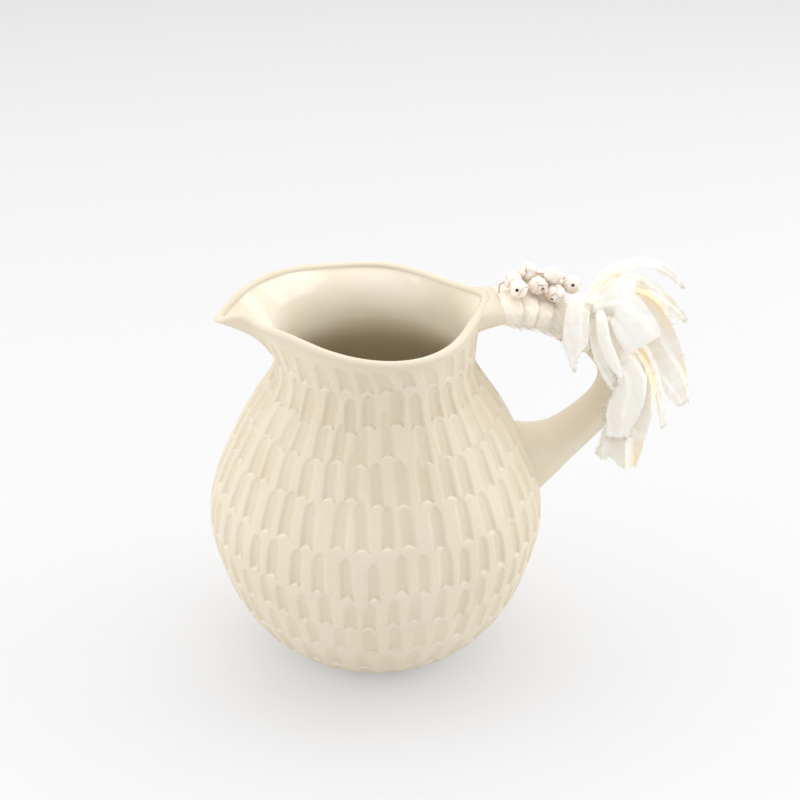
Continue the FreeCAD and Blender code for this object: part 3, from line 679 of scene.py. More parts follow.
def strap_ring(station, half_width, half_thick, angles, power):
    """A rounded strap section. Angles start at +Y and turn to the outside."""
    here, out = strap_place(station)
    c, s = np.cos(angles), np.sin(angles)
    r = (np.abs(c) ** power + np.abs(s) ** power) ** (-1 / power)
    o = half_thick * s * r
    return np.stack([here[0] + out[0] * o, half_width * c * r, here[1] + out[1] * o], axis=1)


def over_strap(station, cloth, angle):
    """A place over the strap, on cloth of this thickness."""
    wide, thick = STRAP_HALF_WIDTH + cloth, STRAP_HALF_THICK + cloth
    return strap_ring(station, wide, thick, np.array([angle]), 2.5)[0]


# How much wider the strap is at shares of its length, in steps of FLARE_WIDTH
# and FLARE_THICK.
FLARE = natural_spline(
    [0.0, 0.03, 0.07, 0.13, 0.20, 0.45, 0.68, 0.80, 0.88, 0.94, 1.0],
    [2.60, 1.55, 0.70, 0.18, 0.0, 0.05, 0.30, 0.75, 1.25, 1.80, 2.50],
)
FLARE_WIDTH, FLARE_THICK = 2.5, 1.25
# The lower root's hollow curves: side of the strap, length along the strap,
# how far they run out along the belly, and how sharply.
ROOT_CURVES = ((1, 15.0, 12.0, 1.0), (-1, 24.0, -13.0, 1.5))
# How far from the lip's middle line and how far under it the upper root stays.
LIP_SIDE, LIP_UNDER = 1.2, 1.4


def belly_radius(heights):
    return np.interp(heights, OUTER[1][:, 1], OUTER[1][:, 0])


def into_wall(ring):
    """Keeps a ring of the strap from passing through the middle of the jug's wall."""
    ring = ring.copy()
    radius = np.hypot(ring[:, 0], ring[:, 1])
    crest = MOUTH_LINE(np.degrees(np.arctan2(ring[:, 1], ring[:, 0])) % 360.0)
    crest_radius = np.hypot(crest[:, 0], crest[:, 1])
    up = (ring[:, 2] - NECK_HEIGHT) / (crest[:, 2] - WALL / 2 - NECK_HEIGHT)
    opening = THROAT_OPENING(np.clip(up, 0, 1))[:, 0]
    above = NECK_RADIUS - WALL / 2 + (crest_radius - NECK_RADIUS + WALL / 2) * opening
    below = belly_radius(ring[:, 2]) - WALL / 2
    middle = np.where(ring[:, 2] > NECK_HEIGHT, above, below)
    ring[:, :2] *= np.maximum(1.0, middle / radius)[:, None]
    inner = np.hypot(ring[:, 0], ring[:, 1]) < crest_radius + LIP_SIDE
    ring[:, 2] = np.where(inner, np.minimum(ring[:, 2], crest[:, 2] - LIP_UNDER), ring[:, 2])
    return ring


def near(distance, reach):
    """1 at the start, 0 from the reach on."""
    return max(0.0, 1 - distance / reach)


def far_fade(distance, start):
    return math.exp(-max(0.0, distance - start) / 8.0)


def handle_ring(station, angles):
    flare = float(FLARE(station / STRAP_LENGTH)[0, 0])
    ring = strap_ring(station, STRAP_HALF_WIDTH + FLARE_WIDTH * flare,
                      STRAP_HALF_THICK + FLARE_THICK * flare, angles, 2.7)
    out_x, out_z = strap_place(station)[1]
    out = np.array([out_x, 0.0, out_z])
    topside = np.clip(np.sin(angles), 0, 1)[:, None]
    underside = np.clip(-np.sin(angles), 0, 1)[:, None]
    # The underside swells towards the neck.
    ring = ring - underside * near(station, 13.0) ** 2 * 5.0 * out
    # Both sides of the lower root swell into the belly.
    left = STRAP_LENGTH - station
    inner = underside * 6.0 * far_fade(left, 16.0)
    outer = topside * (2.0 * far_fade(left, 14.0) - 5.0 * near(station, 9.0) ** 2)
    ring = ring + (outer - inner) * out
    # The lower root runs out up and down the belly in hollow curves.
    for way, reach, run_out, power in ROOT_CURVES:
        if left >= reach:
            continue
        share = np.clip(np.sin(angles) * way * 1.6, 0, 1) * (1 - left / reach)
        radius = np.hypot(ring[:, 0], ring[:, 1])
        proud = radius - belly_radius(ring[:, 2])
        ring[:, 2] -= run_out * share ** power
        target = belly_radius(ring[:, 2]) + proud * (1 - share) ** 2 - 1.4 * share
        ring[:, :2] *= np.where(share > 0, target / radius, 1.0)[:, None]
    # Both ends reach into the wall all round.
    ring[:, 0] -= 7.0 * near(station, 9.0) + 12.0 * near(left, 15.0) ** 2
    wobble = 0.18 * np.sin(3 * angles + station * 0.09) + 0.12 * np.sin(station * 0.21 + angles)
    away = unit(ring - ring.mean(axis=0))
    return into_wall(ring - away * (SKIN_INSET + wobble[:, None]))


def make_handle():
    angles = np.linspace(0, TURN, HANDLE_COLUMNS, endpoint=False)
    stations = np.linspace(0, STRAP_LENGTH, HANDLE_ROWS)
    rings = [handle_ring(station, angles) for station in stations]
    # The ends are closed inside the wall and follow its curve.
    for end, at in ((rings[0], 0), (rings[-1], len(rings))):
        middle = end.mean(axis=0)
        caps = [into_wall(middle + (end - middle) * share) for share in (0.8, 0.6, 0.4, 0.2, 0.02)]
        rings[at:at] = caps[::-1] if at == 0 else caps
    handle = grid_mesh("strap_handle", np.array(rings), capped=True)
    dress(handle, "jug", "handle", "stoneware", CLAY)


make_handle()

# --- beads

# Middles and hole directions, in mm, as the solids have them.
BEADS = {
    1: ((60.26, -6.93, 172.821), (-0.3567, -0.8968, 0.2615)),
    2: ((69.809, -1.67, 171.486), (0.3454, -0.936, -0.0681)),
    3: ((77.304, -4.175, 168.301), (-0.6671, -0.6651, -0.3356)),
    4: ((59.621, 1.419, 173.096), (0.9949, 0.0, 0.1005)),
    5: ((66.723, 5.177, 175.14), (0.9458, -0.3178, -0.0669)),
    6: ((73.056, 8.099, 170.599), (0.9105, -0.4069, 0.0729)),
    7: ((76.91, 1.753, 174.419), (0.9458, -0.3178, -0.0669)),
    8: ((85.078, 0.334, 170.074), (-0.1003, -0.9484, 0.3008)),
    9: ((65.489, 11.481, 169.993), (0.9105, -0.4069, 0.0729)),
    10: ((80.121, 6.346, 166.702), (0.6222, 0.3011, 0.7226)),
}
BEAD_RADIUS, BORE = 4.0, 0.55
BEAD_COLUMNS, BEAD_ROWS = 52, 34
# The hole's funnel: radius as a share of the bore, and place along the hole.
FUNNEL = ((0.9, 2.2), (1.0, 3.2), (1.2, 3.72))


def make_bead(number):
    """A tumbled stone ball, a little uneven, with a drilled hole."""
    centre, hole = BEADS[number]
    centre = np.array(centre)
    axis = unit(hole)
    first = unit(np.cross(axis, (0.3, 0.2, 0.9)))
    second = np.cross(axis, first)
    start = 1.9 * math.asin(BORE / BEAD_RADIUS)
    angles = np.linspace(start, math.pi - start, BEAD_ROWS)
    profile = [(BORE * share, along) for share, along in FUNNEL]
    profile += [(BEAD_RADIUS * math.sin(a), BEAD_RADIUS * math.cos(a)) for a in angles]
    profile += [(BORE * share, -along) for share, along in reversed(FUNNEL)]
    turn = np.linspace(0, TURN, BEAD_COLUMNS, endpoint=False)
    rings = []
    for radius, along in profile:
        ring = (centre + axis * along
                + np.outer(np.cos(turn), first * radius) + np.outer(np.sin(turn), second * radius))
        if radius > 2 * BORE:
            lump = np.array([noise.noise(Vector(v * 0.35 + number * 9.1)) for v in ring])
            ring = centre + (ring - centre) * (0.993 + 0.014 * lump)[:, None]
        rings.append(ring)
    bead = grid_mesh(f"stone_bead_{number}", np.array(rings))
    dress(bead, f"bead_{number}_body", f"bead_{number}", "bead_stone", STONE, HOLE_SHADE)
    # The faces in the holes take the painted shade.
    kinds = np.zeros((len(rings) - 1, len(turn)), np.int32)
    kinds[:2] = 1
    kinds[-2:] = 1
    bead.data.polygons.foreach_set("material_index", kinds.ravel())


for number in BEADS:
    make_bead(number)

FIRST_BEAD_STATION = 16.95
BEAD_PITCH = 8.35
WRAP_HALF_WIDTH, WRAP_HALF_HEIGHT = 14.4, 6.9


def over_wrap(along, across, height):
    """A place over the winding, counted in bead pitches from the first bead."""
    here, out = strap_place(FIRST_BEAD_STATION + along * BEAD_PITCH)
    side = across * BEAD_PITCH
    low, high = 0.0, math.pi / 2
    clearance = height * BEAD_PITCH
    for _ in range(40):
        angle = (low + high) / 2
        n = unit((WRAP_HALF_HEIGHT * math.cos(angle), WRAP_HALF_WIDTH * math.sin(angle)))
        if WRAP_HALF_WIDTH * math.cos(angle) + clearance * n[0] > abs(side):
            low = angle
        else:
            high = angle
    lift = WRAP_HALF_HEIGHT * math.sin(angle) + clearance * n[1]
    return np.array([here[0] + out[0] * lift, side, here[1] + out[1] * lift])


def hole(number, side, reach):
    """A place on the line through a bead's hole, so far from its middle."""
    centre, direction = BEADS[number]
    return np.array(centre) + unit(direction) * (side * reach)


# How far from its middle a thread ends inside a bead, and leads out of one.
END, LEAD = 2.2, 5.2
# How deep a thread goes into the cloth, in bead pitches.
SEWN = -0.18
THREAD_RADIUS = 0.32
THREADS = (
    (hole(1, 1, END), hole(1, -1, LEAD), over_wrap(0.42, -0.14, 0.2), over_wrap(0.43, -0.14, SEWN)),
    (over_wrap(0.92, 0.40, SEWN), over_wrap(0.92, 0.36, 0.36), hole(2, -1, LEAD), hole(2, 1, LEAD),
     over_wrap(1.26, -0.91, 0.47), hole(3, 1, LEAD), hole(3, -1, LEAD),
     over_wrap(2.02, -0.02, 0.22), over_wrap(2.0, 0.05, SEWN)),
    (hole(4, 1, END), hole(4, -1, LEAD), over_wrap(-0.7, 0.16, 0.2), over_wrap(-0.68, 0.15, SEWN)),
    (over_wrap(0.14, 0.9, SEWN), over_wrap(0.12, 0.88, 0.55), hole(5, -1, LEAD), hole(7, 1, END)),
    (hole(6, 1, END), hole(9, -1, LEAD), over_wrap(0.08, 1.52, 0.16), over_wrap(0.1, 1.5, SEWN)),
    (hole(10, -1, 5.8), hole(10, 1, LEAD), over_wrap(2.33, 0.91, 1.12), hole(8, -1, LEAD),
     hole(8, 1, END)),
)
for number, route in enumerate(THREADS, 1):
    data = bpy.data.curves.new(f"stitch_{number}", "CURVE")
    data.dimensions = "3D"
    line = data.splines.new("NURBS")
    line.points.add(len(route) - 1)
    for point, place in zip(line.points, route):
        point.co = (*(place * MM), 1.0)
    line.order_u = 3
    line.use_endpoint_u = True
    line.resolution_u = 12
    data.bevel_depth = THREAD_RADIUS * MM
    data.bevel_resolution = 3
    dress(add_object(data.name, data), "jug", f"bead_thread_{number}", "thread", THREAD)


# --- cloth

KNOT = np.array((95.185, 0.0, 158.941))
KNOT_RADIUS = 6.5
KNOT_HALF = 9.5
KNOT_INSET = 0.7
FRINGE = 75.0
STRIP_WIDTH = 10.0
FACING = unit((-0.13, -0.87, 0.47))


class Fibres:
    """Loose threads, gathered into one mesh of thin three-sided tubes."""

    def __init__(self, seed):
        self.rng = random.Random(seed)
        self.verts, self.faces = [], []

    def ring(self, place, aim, radius, joined):
        """Three corners round a thread, joined to the three before them."""
        first = unit(np.cross(aim, (0.31, 0.52, 0.79)))
        second = np.cross(aim, first)
        base = len(self.verts)
        for a in (0.0, 2.0944, 4.1888):
            self.verts.append(place + (first * math.cos(a) + second * math.sin(a)) * radius)
        if joined:
            for a in range(3):
                i, j = base - 3 + a, base - 3 + (a + 1) % 3
                self.faces.append((i, j, j + 3, i + 3))

    def add(self, start, heading, length, radius, curl, fall=0.0):
        """A thread that starts here and wanders."""
        rng = self.rng
        place, aim = np.array(start, float), unit(heading)
        bend = np.array([rng.gauss(0, 1) for _ in range(3)]) * curl
        steps = max(4, min(14, int(length * 2.2)))
        for k in range(steps + 1):
            self.ring(place, aim, radius * (1.0 - 0.45 * k / steps), k > 0)
            bend = bend + np.array([rng.gauss(0, 0.35) for _ in range(3)]) * curl
            aim = unit(aim + (bend + np.array((0, 0, -fall))) * (length / steps) * 0.22)
            place = place + aim * (length / steps)

    def lay(self, places, radius=0.11):
        """A thread through the given places."""
        last = len(places) - 1
        for k, place in enumerate(places):
            aim = unit(places[min(k + 1, last)] - places[max(k - 1, 0)])
            self.ring(place, aim, radius, k > 0)

    def build(self, name, body, slot):
        obj = mesh_object(name, self.verts, self.faces)
        dress(obj, body, None, slot, FRAY)
        return obj


def jag(rng, count, size, reach):
    """A torn line: uneven steps at several lengths."""
    line = np.zeros(count)
    for scale, share in ((reach, 0.5), (reach / 3, 0.3), (1, 0.2)):
        knots = max(3, int(count / scale) + 2)
        values = [rng.uniform(-1, 1) for _ in range(knots)]
        line += share * np.interp(np.linspace(0, knots - 1, count), range(knots), values)
    return line * size


def knot_edge(direction):
    d = unit(direction)
    reach = 1 / math.hypot(math.hypot(d[0], d[2]) / KNOT_RADIUS, d[1] / KNOT_HALF)
    return KNOT + d * (reach - KNOT_INSET)


def fray_strip(name, body, seed, fray, strays, grid, side, run, lift):
    """Loose threads along both edges and the end of a strip."""
    fibres = Fibres(seed + 50)
    rng = fibres.rng
    count, columns = grid.shape[:2]
    threads, reach = fray
    for _ in range(threads):
        i = min(int(count * (0.06 + 0.94 * rng.random() ** 0.75)), count - 2)
        edge = rng.choice((0, -1))
        heading = side[i] * (-1 if edge == 0 else 1) * rng.uniform(0.3, 1.0)
        heading = heading + run[i] * rng.uniform(-0.3, 0.9) + lift[i] * rng.gauss(0, 0.25)
        fibres.add(grid[i, edge], heading, reach * rng.uniform(0.35, 1.1), 0.13, 0.5, 0.15)
    for _ in range(threads // 3):
        j = rng.randrange(columns)
        heading = run[-1] + side[-1] * rng.uniform(-0.4, 0.4) + lift[-1] * rng.gauss(0, 0.2)
        fibres.add(grid[-1, j], heading, reach * rng.uniform(0.5, 1.3), 0.13, 0.5, 0.2)
    for _ in range(strays):
        i = rng.randrange(count // 3, count - 1)
        edge = rng.choice((0, -1))
        heading = run[i] + side[i] * (1 if edge else -1) * 0.5
        fibres.add(grid[i, edge], heading, rng.uniform(4.0, 8.0), 0.085, 0.6, 0.25)
    return fibres.build(f"{name}_fray", body, "strip_cloth")


STRIP_COLUMNS = 21
SHARP_CREASE = math.radians(24)


def make_strip(word, rows, seed, body="fringe", folds=1.0, roll=0.0, ripple=0.5, curl=0.25,
               torn=0.45, fray=(70, 1.6), tip=1.0, strays=3, slant=0.0, painted_warm_shade=(0.3, 0.0)):
    """A torn slip of muslin: folded, curled at its edges and frayed."""
    name = f"{word}_strip"
    rng = random.Random(seed)
    facts = np.array(rows) / (1000, 1000, 1000, 100, 1, 100)
    start = knot_edge(facts[0, :3])
    facts[:, :3] = KNOT + facts[:, :3] * FRINGE
    facts[0, :3] = start
    facts[:, 3] *= STRIP_WIDTH
    knots = np.r_[0, np.cumsum(np.linalg.norm(np.diff(facts[:, :3], axis=0), axis=1))]
    length = knots[-1]
    count = max(24, int(length / 0.55))
    s = np.linspace(0, length, count)
    path = natural_spline(knots, facts)(s)
    place, width, turn, crown = path[:, :3], path[:, 3], path[:, 4], path[:, 5]
    width = np.maximum(width, 0.6) if roll else np.interp(s, knots, facts[:, 3])
    run = unit(np.gradient(place, axis=0))
    across = unit(np.cross(run, FACING))
    over = np.cross(across, run)
    lean = np.radians(turn + 6.0 * np.sin(TURN * s / (length * 0.8) + seed))
    side = across * np.cos(lean)[:, None] - over * np.sin(lean)[:, None]
    lift = np.cross(side, run)
    u = np.linspace(-1, 1, STRIP_COLUMNS)
    left, right = jag(rng, count, torn, 9), jag(rng, count, torn, 9)
    end = jag(rng, STRIP_COLUMNS, tip, 5)
    phase = [rng.uniform(0, 6.28) for _ in range(6)]
    grid = np.empty((count, STRIP_COLUMNS, 3))
    uv = np.empty((count, STRIP_COLUMNS, 2))
    wave_a, wave_b = rng.uniform(11, 17), rng.uniform(5.5, 8.5)
    curled = math.copysign(1, phase[5] - 3.1)
    ease = np.clip(s / 6.0, 0, 1)
    last = np.clip((s - (length - 2.5)) / 2.5, 0, 1) ** 2
    for j, c in enumerate(u):
        half = width / 2 + np.where(c < 0, left, right) * abs(c) ** 3
        if roll:
            x = half * np.sin(c * roll) / roll * 1.25
            up = half * (np.cos(c * roll) - math.cos(roll)) / roll
        else:
            x = half * c
            fold = (c * 0.85 + s / 46.0 + phase[0]) % 1.0
            fold = np.minimum(fold / 0.3, (1 - fold) / 0.7) - 0.5
            up = crown * width * (1 - c * c) * 0.55 + folds * width * 0.13 * fold
            up = up - curl * width * 0.5 * np.clip(c * curled - 0.45, 0, 1) ** 2
        up = up + ease * ripple * (
            0.45 * np.sin(TURN * s / wave_a + c * 1.6 + phase[1])
            + 0.22 * np.sin(TURN * s / wave_b - c * 2.3 + phase[2])
            + 0.12 * np.sin(TURN * s / 2.9 + c * 4.1 + phase[3]) * np.sin(s / 5.0 + c)
        )
        torn_end = run * (last * (end[j] + slant * c))[:, None]
        grid[:, j] = place + side * x[:, None] + lift * up[:, None] + torn_end
        uv[:, j, 0] = half * c * MM
        uv[:, j, 1] = s * MM
    wrinkle = np.array([noise.noise(Vector(v * 0.42)) for v in grid.reshape(-1, 3)])
    grid += lift[:, None, :] * (wrinkle.reshape(count, STRIP_COLUMNS, 1) * 0.38)
    strip = grid_mesh(name, grid, closed=False)
    strip.data.set_sharp_from_angle(angle=SHARP_CREASE)
    set_uv(strip, uv)
    # Painted warm shade at the root, and along the edge that painted_warm_shade's second number
    # names.
    root, edge = painted_warm_shade
    along = abs(edge) * (0.55 + 0.45 * np.sin(s / 7.0 + phase[4]))[:, None]
    painted_amber_shade = np.clip(1.15 - s / (0.5 * length), 0, 1)[:, None] * root
    painted_amber_shade = painted_amber_shade + np.clip((u * np.sign(edge) - 0.35) / 0.5, 0, 1)[None] * along
    set_points(strip, "painted_warm_shade", np.clip(painted_amber_shade, 0, 1))
    dress(strip, body, f"strip_{word}", "strip_cloth", STRIP)
    frayed = fray_strip(name, body, seed, fray, strays, grid, side, run, lift)


# Corners round a lap, and the distance between its rows.
AROUND, ROW_STEP = 120, 0.42


def strap_sheet(name, node, laps, seed, fray, loose=0):
    """Cloth wound round the strap. Each lap: start, end, cloth under both, slant, ridges."""
    rng = random.Random(seed)
    angles = np.linspace(0, TURN, AROUND, endpoint=False)
    fibres = Fibres(seed + 80)
    frng = fibres.rng
    verts, faces, uvs = [], [], []
    for lap, (start, end, thin, thick, slant, ridges) in enumerate(laps):
        rows = max(16, int((end - start) / ROW_STEP))
        edge = jag(rng, AROUND + 1, 0.75, 10)[:AROUND]
        blend = np.linspace(0, 1, 12)
        edge[-12:] = edge[-12:] * (1 - blend) + edge[0] * blend
        tilt = slant * np.sin(angles + 0.9 * lap + 0.4)
        grid = np.empty((rows, AROUND, 3))
        for r in range(rows):
            share = r / (rows - 1)
            for k, angle in enumerate(angles):
                station = start + share * (end - start) + tilt[k] * (0.35 + 0.65 * share)
                station += edge[k] * max(0.0, share - 0.55) / 0.45
                cloth = thin + (thick - thin) * share ** 0.8
                bend = 1.3 * math.sin(angle * 2 + lap)
                cloth += ridges * math.sin(share * TURN * 2.5 + bend)
                wrinkle = Vector((station * 0.55, angle * 2.3 + lap * 7.0, lap * 3.1))
                weave = Vector((station * 1.9, angle * 7.0, lap))
                cloth += 0.32 * noise.noise(wrinkle) + 0.10 * noise.noise(weave)
                grid[r, k] = over_strap(station, max(cloth, 0.35), angle)
                uvs.append((k * 0.6 * MM, (start + r * ROW_STEP) * MM))
        faces += quads(rows, AROUND, True, len(verts))
        verts += list(grid.reshape(-1, 3))
        along = grid[-1] - grid[-3]
        for _ in range(fray[0]):
            k = frng.randrange(AROUND)
            outward = unit(grid[-1, k] - grid[-1].mean(axis=0))
            sideways = unit(grid[-1, (k + 2) % AROUND] - grid[-1, k - 2])
            heading = unit(along[k]) * frng.uniform(0.2, 1.0) + outward * frng.uniform(0.0, 0.35)
            heading = heading + sideways * frng.gauss(0, 0.7)
            length = fray[1] * frng.uniform(0.3, 1.1)
            fibres.add(grid[-1, k] + outward * 0.1, heading, length, 0.085, 0.35)
    first, last = laps[0][0], laps[-1][1]
    for _ in range(loose):
        begin, turn = rng.uniform(first + 3, last - 5), rng.uniform(-1.5, 0.6)
        drift, swing, bow = rng.uniform(-5, 5), rng.uniform(0.4, 1.3), rng.uniform(1.5, 4.0)
        places = []
        for t in np.linspace(0, 1, 18):
            station = begin + drift * t + bow * math.sin(math.pi * t)
            station = np.clip(station, first + 1, last - 1)
            places.append(over_strap(station, laps[0][3] + 0.42, math.pi + turn * 0.8 + swing * t))
        fibres.lay(places)
    obj = mesh_object(name, verts, faces)
    set_uv(obj, uvs)
    dress(obj, "jug", node, "wrap_cloth", WRAP)
    frayed = fibres.build(f"{name}_fray", "jug", "wrap_cloth")


WRAP_LAPS = []
for lap in range(5):
    begin = 10.5 + lap * 6.7
    WRAP_LAPS.append((begin, min(begin + 8.4, 44.2), 0.9, 2.1, 1.0 if lap else 0.0, 0.0))
TIE_LAPS = ((42.4, 48.6, 1.5, 2.0, 0.5, 0.28), (46.6, 52.8, 1.6, 1.9, -0.6, 0.25))
strap_sheet("wrap_turns", "cloth_wrap", WRAP_LAPS, 11, (150, 2.8), 26)
strap_sheet("tie_cloth", "tie_band", TIE_LAPS, 12, (30, 1.6))

# The knot's bands: axis, start, sweep, half width as a share of a right angle,
# size as a share of the knot, and depth of the folds.
KNOT_BANDS = (
    ((0.0, 1.0, 0.0), 0.0, 6.28, 0.985, 0.93, 0.25),
    ((0.9, 0.15, -0.4), 0.3, 5.9, 0.52, 1.0, 0.18),
    ((0.35, 0.55, 0.75), 1.2, 5.2, 0.40, 1.05, 0.18),
    ((-0.2, 0.8, 0.55), 2.4, 4.4, 0.34, 1.09, 0.16),
)


def make_knot():
    """Bands of cloth drawn over each other round a core of the same cloth."""
    verts, faces, uvs, painted_amber_shades = [], [], [], []
    scale = np.array((KNOT_RADIUS, KNOT_HALF, KNOT_RADIUS))
    rows, columns = 90, 25
    for number, (axis, begin, sweep, reach, size, fold) in enumerate(KNOT_BANDS):
        pole = unit(axis)
        first = unit(np.cross(pole, (0.2, -0.5, 0.84)))
        second = np.cross(pole, first)
        faces += quads(rows, columns, False, len(verts))
        for i in range(rows):
            turn = begin + sweep * i / (rows - 1)
            around = first * math.cos(turn) + second * math.sin(turn)
            for j in range(columns):
                c = -1 + 2 * j / (columns - 1)
                tilt = c * reach * math.pi / 2
                d = around * math.cos(tilt) + pole * math.sin(tilt)
                wave = c * 7.5 + 1.4 * math.sin(turn * 1.5 + number)
                ridge = fold * math.sin(wave) * (1 - c ** 4)
                ridge += 0.35 * noise.noise(Vector(d * 3.1 + number * 5.3))
                tuck = 0.55 * abs(c) ** 6 if number else 0.0
                verts.append(KNOT + d * scale * (0.93 * size) + d * (ridge * 1.1 - tuck))
                # Painted warm shade in the hollows between the folds.
                painted_amber_shades.append(0.75 * min(1.0, max(0.0, 0.35 - 2.4 * ridge)))
                uvs.append((c * reach * 10 * MM, turn * 7 * MM))
    knot = mesh_object("knot_cloth", verts, faces)
    set_points(knot, "painted_warm_shade", painted_amber_shades)
    set_uv(knot, uvs)
    dress(knot, "jug", "cloth_knot", "strip_cloth", STRIP)


make_knot()

# Each row: place from the knot's middle in thousandths of the fringe's length,
# width in hundredths of the usual width, turn in degrees, crown in hundredths.
make_strip("tail", (
    (-60, -135, 62, 70, 0, 20), (-136, -185, 94, 100, 0, 16), (-152, -217, 17, 110, 0, 12),
    (-160, -227, -115, 105, 0, 10), (-166, -227, -165, 55, 0, 10), (-155, -220, -277, 12, 0, 8),
), 21, "tail", fray=(90, 1.4), strays=2)
make_strip("band", (
    (-20, -140, -20, 40, 0, 10), (-38, -178, -79, 50, 0, 12), (-11, -186, -185, 55, 0, 12),
    (58, -180, -345, 55, 0, 10), (118, -174, -461, 40, 0, 8),
), 22, ripple=0.2, fray=(60, 1.0), strays=1)
make_strip("leaf", (
    (14, -140, 26, 30, 10, 20), (-12, -213, 20, 55, 15, 30), (-3, -240, -64, 66, 20, 35),
    (50, -248, -208, 62, 20, 35), (119, -245, -339, 18, 10, 20),
), 23, roll=1.35, ripple=0.12, torn=0.12, fray=(24, 0.8), strays=0, tip=0.4)
make_strip("front", (
    (70, -110, -20, 75, 0, 16), (83, -168, -110, 90, -10, 16), (141, -207, -244, 100, -5, 14),
    (195, -217, -390, 130, 0, 12), (154, -213, -578, 140, 10, 10), (132, -200, -749, 95, 5, 8),
), 24, folds=0.8, ripple=0.4, torn=0.9, fray=(380, 3.0), strays=5, tip=1.4)
make_strip("shield", (
    (70, -100, 60, 95, 0, 20), (112, -143, 73, 145, 5, 12), (178, -215, -20, 180, 10, 8),
    (240, -250, -136, 174, 12, 6),
), 25, folds=0.5, ripple=0.2, curl=0.1, torn=0.25, fray=(70, 0.8), strays=1, tip=0.35, slant=0.8,
   painted_warm_shade=(0.0, 0.0))
make_strip("back", (
    (90, -40, -40, 85, 0, 16), (211, -77, -253, 105, 10, 14), (285, -85, -483, 135, 15, 14),
    (231, -80, -749, 175, 8, 12), (171, -69, -1000, 195, 0, 10),
), 26, folds=1.9, curl=0.6, fray=(120, 1.2), tip=0.5, slant=-1.6, painted_warm_shade=(0.9, -0.9))
make_strip("narrow", (
    (100, 30, -50, 35, 0, 14), (325, 16, -307, 55, -30, 14), (427, 13, -544, 55, -40, 14),
    (478, 13, -820, 30, -20, 10),
), 27, fray=(80, 1.3), painted_warm_shade=(1.0, 0.9))
make_strip("right", (
    (110, -10, 40, 85, 0, 16), (250, 43, 21, 115, 15, 14), (393, 67, -128, 115, 20, 12),
    (460, 83, -316, 145, 15, 12), (532, 83, -521, 140, 0, 10), (604, 69, -702, 70, -10, 8),
), 28, folds=1.6, curl=0.4, fray=(130, 1.6), strays=4, painted_warm_shade=(1.0, -0.7))
make_strip("short", (
    (45, -20, 80, 50, 0, 12), (98, -15, 120, 75, -30, 10), (160, -40, 132, 95, -25, 10),
    (213, -60, 112, 85, -15, 8),
), 29, ripple=0.3, fray=(50, 1.2), strays=2)
make_strip("middle", (
    (90, 50, 60, 45, 0, 14), (240, 107, 80, 100, -20, 12), (403, 128, -20, 90, 0, 12),
    (514, 133, -109, 55, 15, 10), (588, 120, -173, 25, 20, 8),
), 30, ripple=0.7, fray=(90, 1.8), strays=4, painted_warm_shade=(0.5, -0.7))
make_strip("high", (
    (20, 100, 70, 45, 0, 14), (150, 185, 130, 75, -35, 12), (424, 225, 145, 50, -20, 10),
    (526, 225, 75, 35, 0, 10), (593, 210, 0, 15, 15, 8),
), 31, fray=(80, 1.5), painted_warm_shade=(0.3, 0.6))

# --- stage and lights

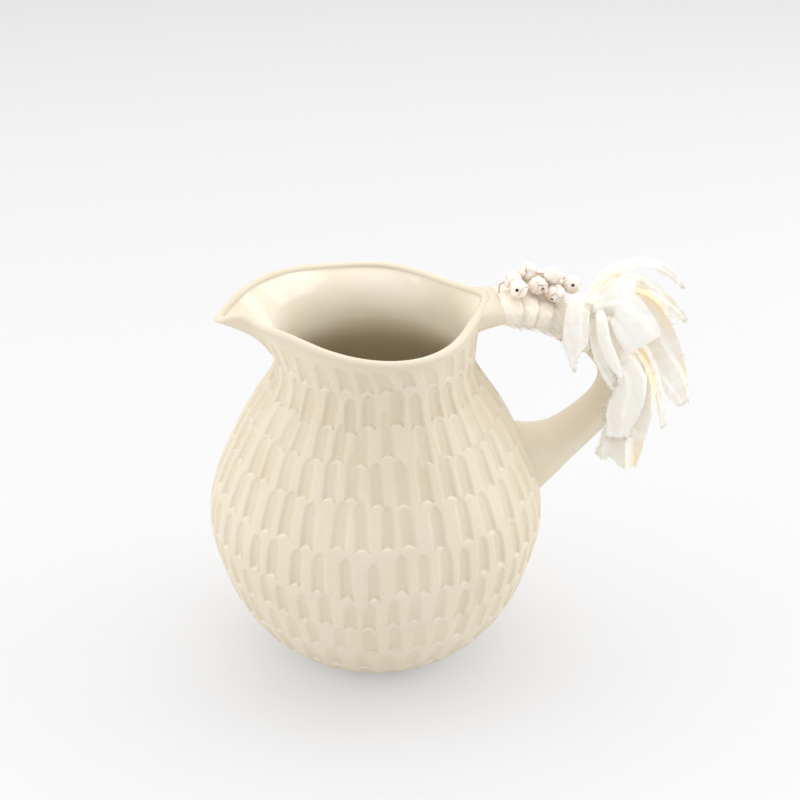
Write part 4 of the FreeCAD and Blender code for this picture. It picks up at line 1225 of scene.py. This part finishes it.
def make_floor():
    """Paper with a painted falloff, darker to the far side, and a little brighter where it is
    looked at.
    """
    bpy.ops.mesh.primitive_plane_add(size=60.0, location=(0, 0, 0))
    floor = bpy.context.object
    floor.name = "floor"
    n = Nodes(bpy.data.materials.new("floor_paper"))
    place = n.add("ShaderNodeNewGeometry").outputs["Position"]
    painted_falloff = n.span(n.axis(place, "Y"), -0.15, 1.3)
    paper = n.mix(painted_falloff, srgb(179, 179, 180), srgb(166, 166, 167))
    path = n.add("ShaderNodeLightPath").outputs
    seen = n.maths("MAXIMUM", path["Is Camera Ray"], path["Is Glossy Ray"])
    seen = n.maths("MAXIMUM", seen, path["Is Transmission Ray"])
    n.into(n.mix(seen, srgb(234, 234, 235), paper), "Base Color")
    n.into(paper, "Emission Color")
    n.into(n.maths("MULTIPLY", seen, 0.80), "Emission Strength")
    n.set(Roughness=1.0, Specular_IOR_Level=0.0)
    floor.data.materials.append(n.owner)


# Name, place, size and power of the square lamps, which all look at LAMP_AIM.
LAMPS = (
    ("top", (0.10, 0.55, 1.25), 1.5, 6.0),
    ("left", (-1.20, 0.10, 0.60), 1.0, 4.2),
    ("right", (1.25, 0.05, 0.60), 1.0, 5.2),
)
LAMP_AIM = (0, 0, 0.08)
# The world's strength from below to above, and where the camera sees it.
WORLD_LOW, WORLD_HIGH, WORLD_SEEN = 0.66, 1.14, 0.84


def add_aimed(name, data, place, look):
    obj = add_object(name, data)
    obj.location = place
    obj.rotation_euler = Vector(look).to_track_quat("-Z", "Y").to_euler()
    return obj


def make_lights():
    world = bpy.data.worlds.new("studio")
    bpy.context.scene.world = world
    n = Nodes(world, "Background")
    n.set(Color=WHITE)
    height = n.axis(n.add("ShaderNodeTexCoord").outputs["Generated"], "Z")
    level = n.span(height, -0.05, 0.95, WORLD_LOW, WORLD_HIGH)
    choice = n.add("ShaderNodeMix")
    seen = n.add("ShaderNodeLightPath").outputs["Is Camera Ray"]
    n.feed((seen, level, WORLD_SEEN), (choice.inputs[0], choice.inputs[2], choice.inputs[3]))
    n.into(choice.outputs[0], "Strength")
    for name, place, size, power in LAMPS:
        lamp = bpy.data.lights.new(name, "AREA")
        lamp.shape = "SQUARE"
        lamp.size = size
        lamp.energy = power
        add_aimed(name, lamp, place, Vector(LAMP_AIM) - Vector(place))


CAMERA_PLACE = (-0.0837, -0.6331, 0.4606)
CAMERA_DOWN, CAMERA_SIDE = math.radians(28.0), math.radians(-8.5)


def make_camera():
    data = bpy.data.cameras.new("camera")
    data.lens = 50.0
    data.sensor_width = 24.0
    flat = math.cos(CAMERA_DOWN)
    look = (-math.sin(CAMERA_SIDE) * flat, math.cos(CAMERA_SIDE) * flat, -math.sin(CAMERA_DOWN))
    bpy.context.scene.camera = add_aimed("camera", data, CAMERA_PLACE, look)


make_floor()
make_lights()
make_camera()
bpy.context.scene.view_settings.view_transform = "Standard"

bpy.context.view_layer.update()
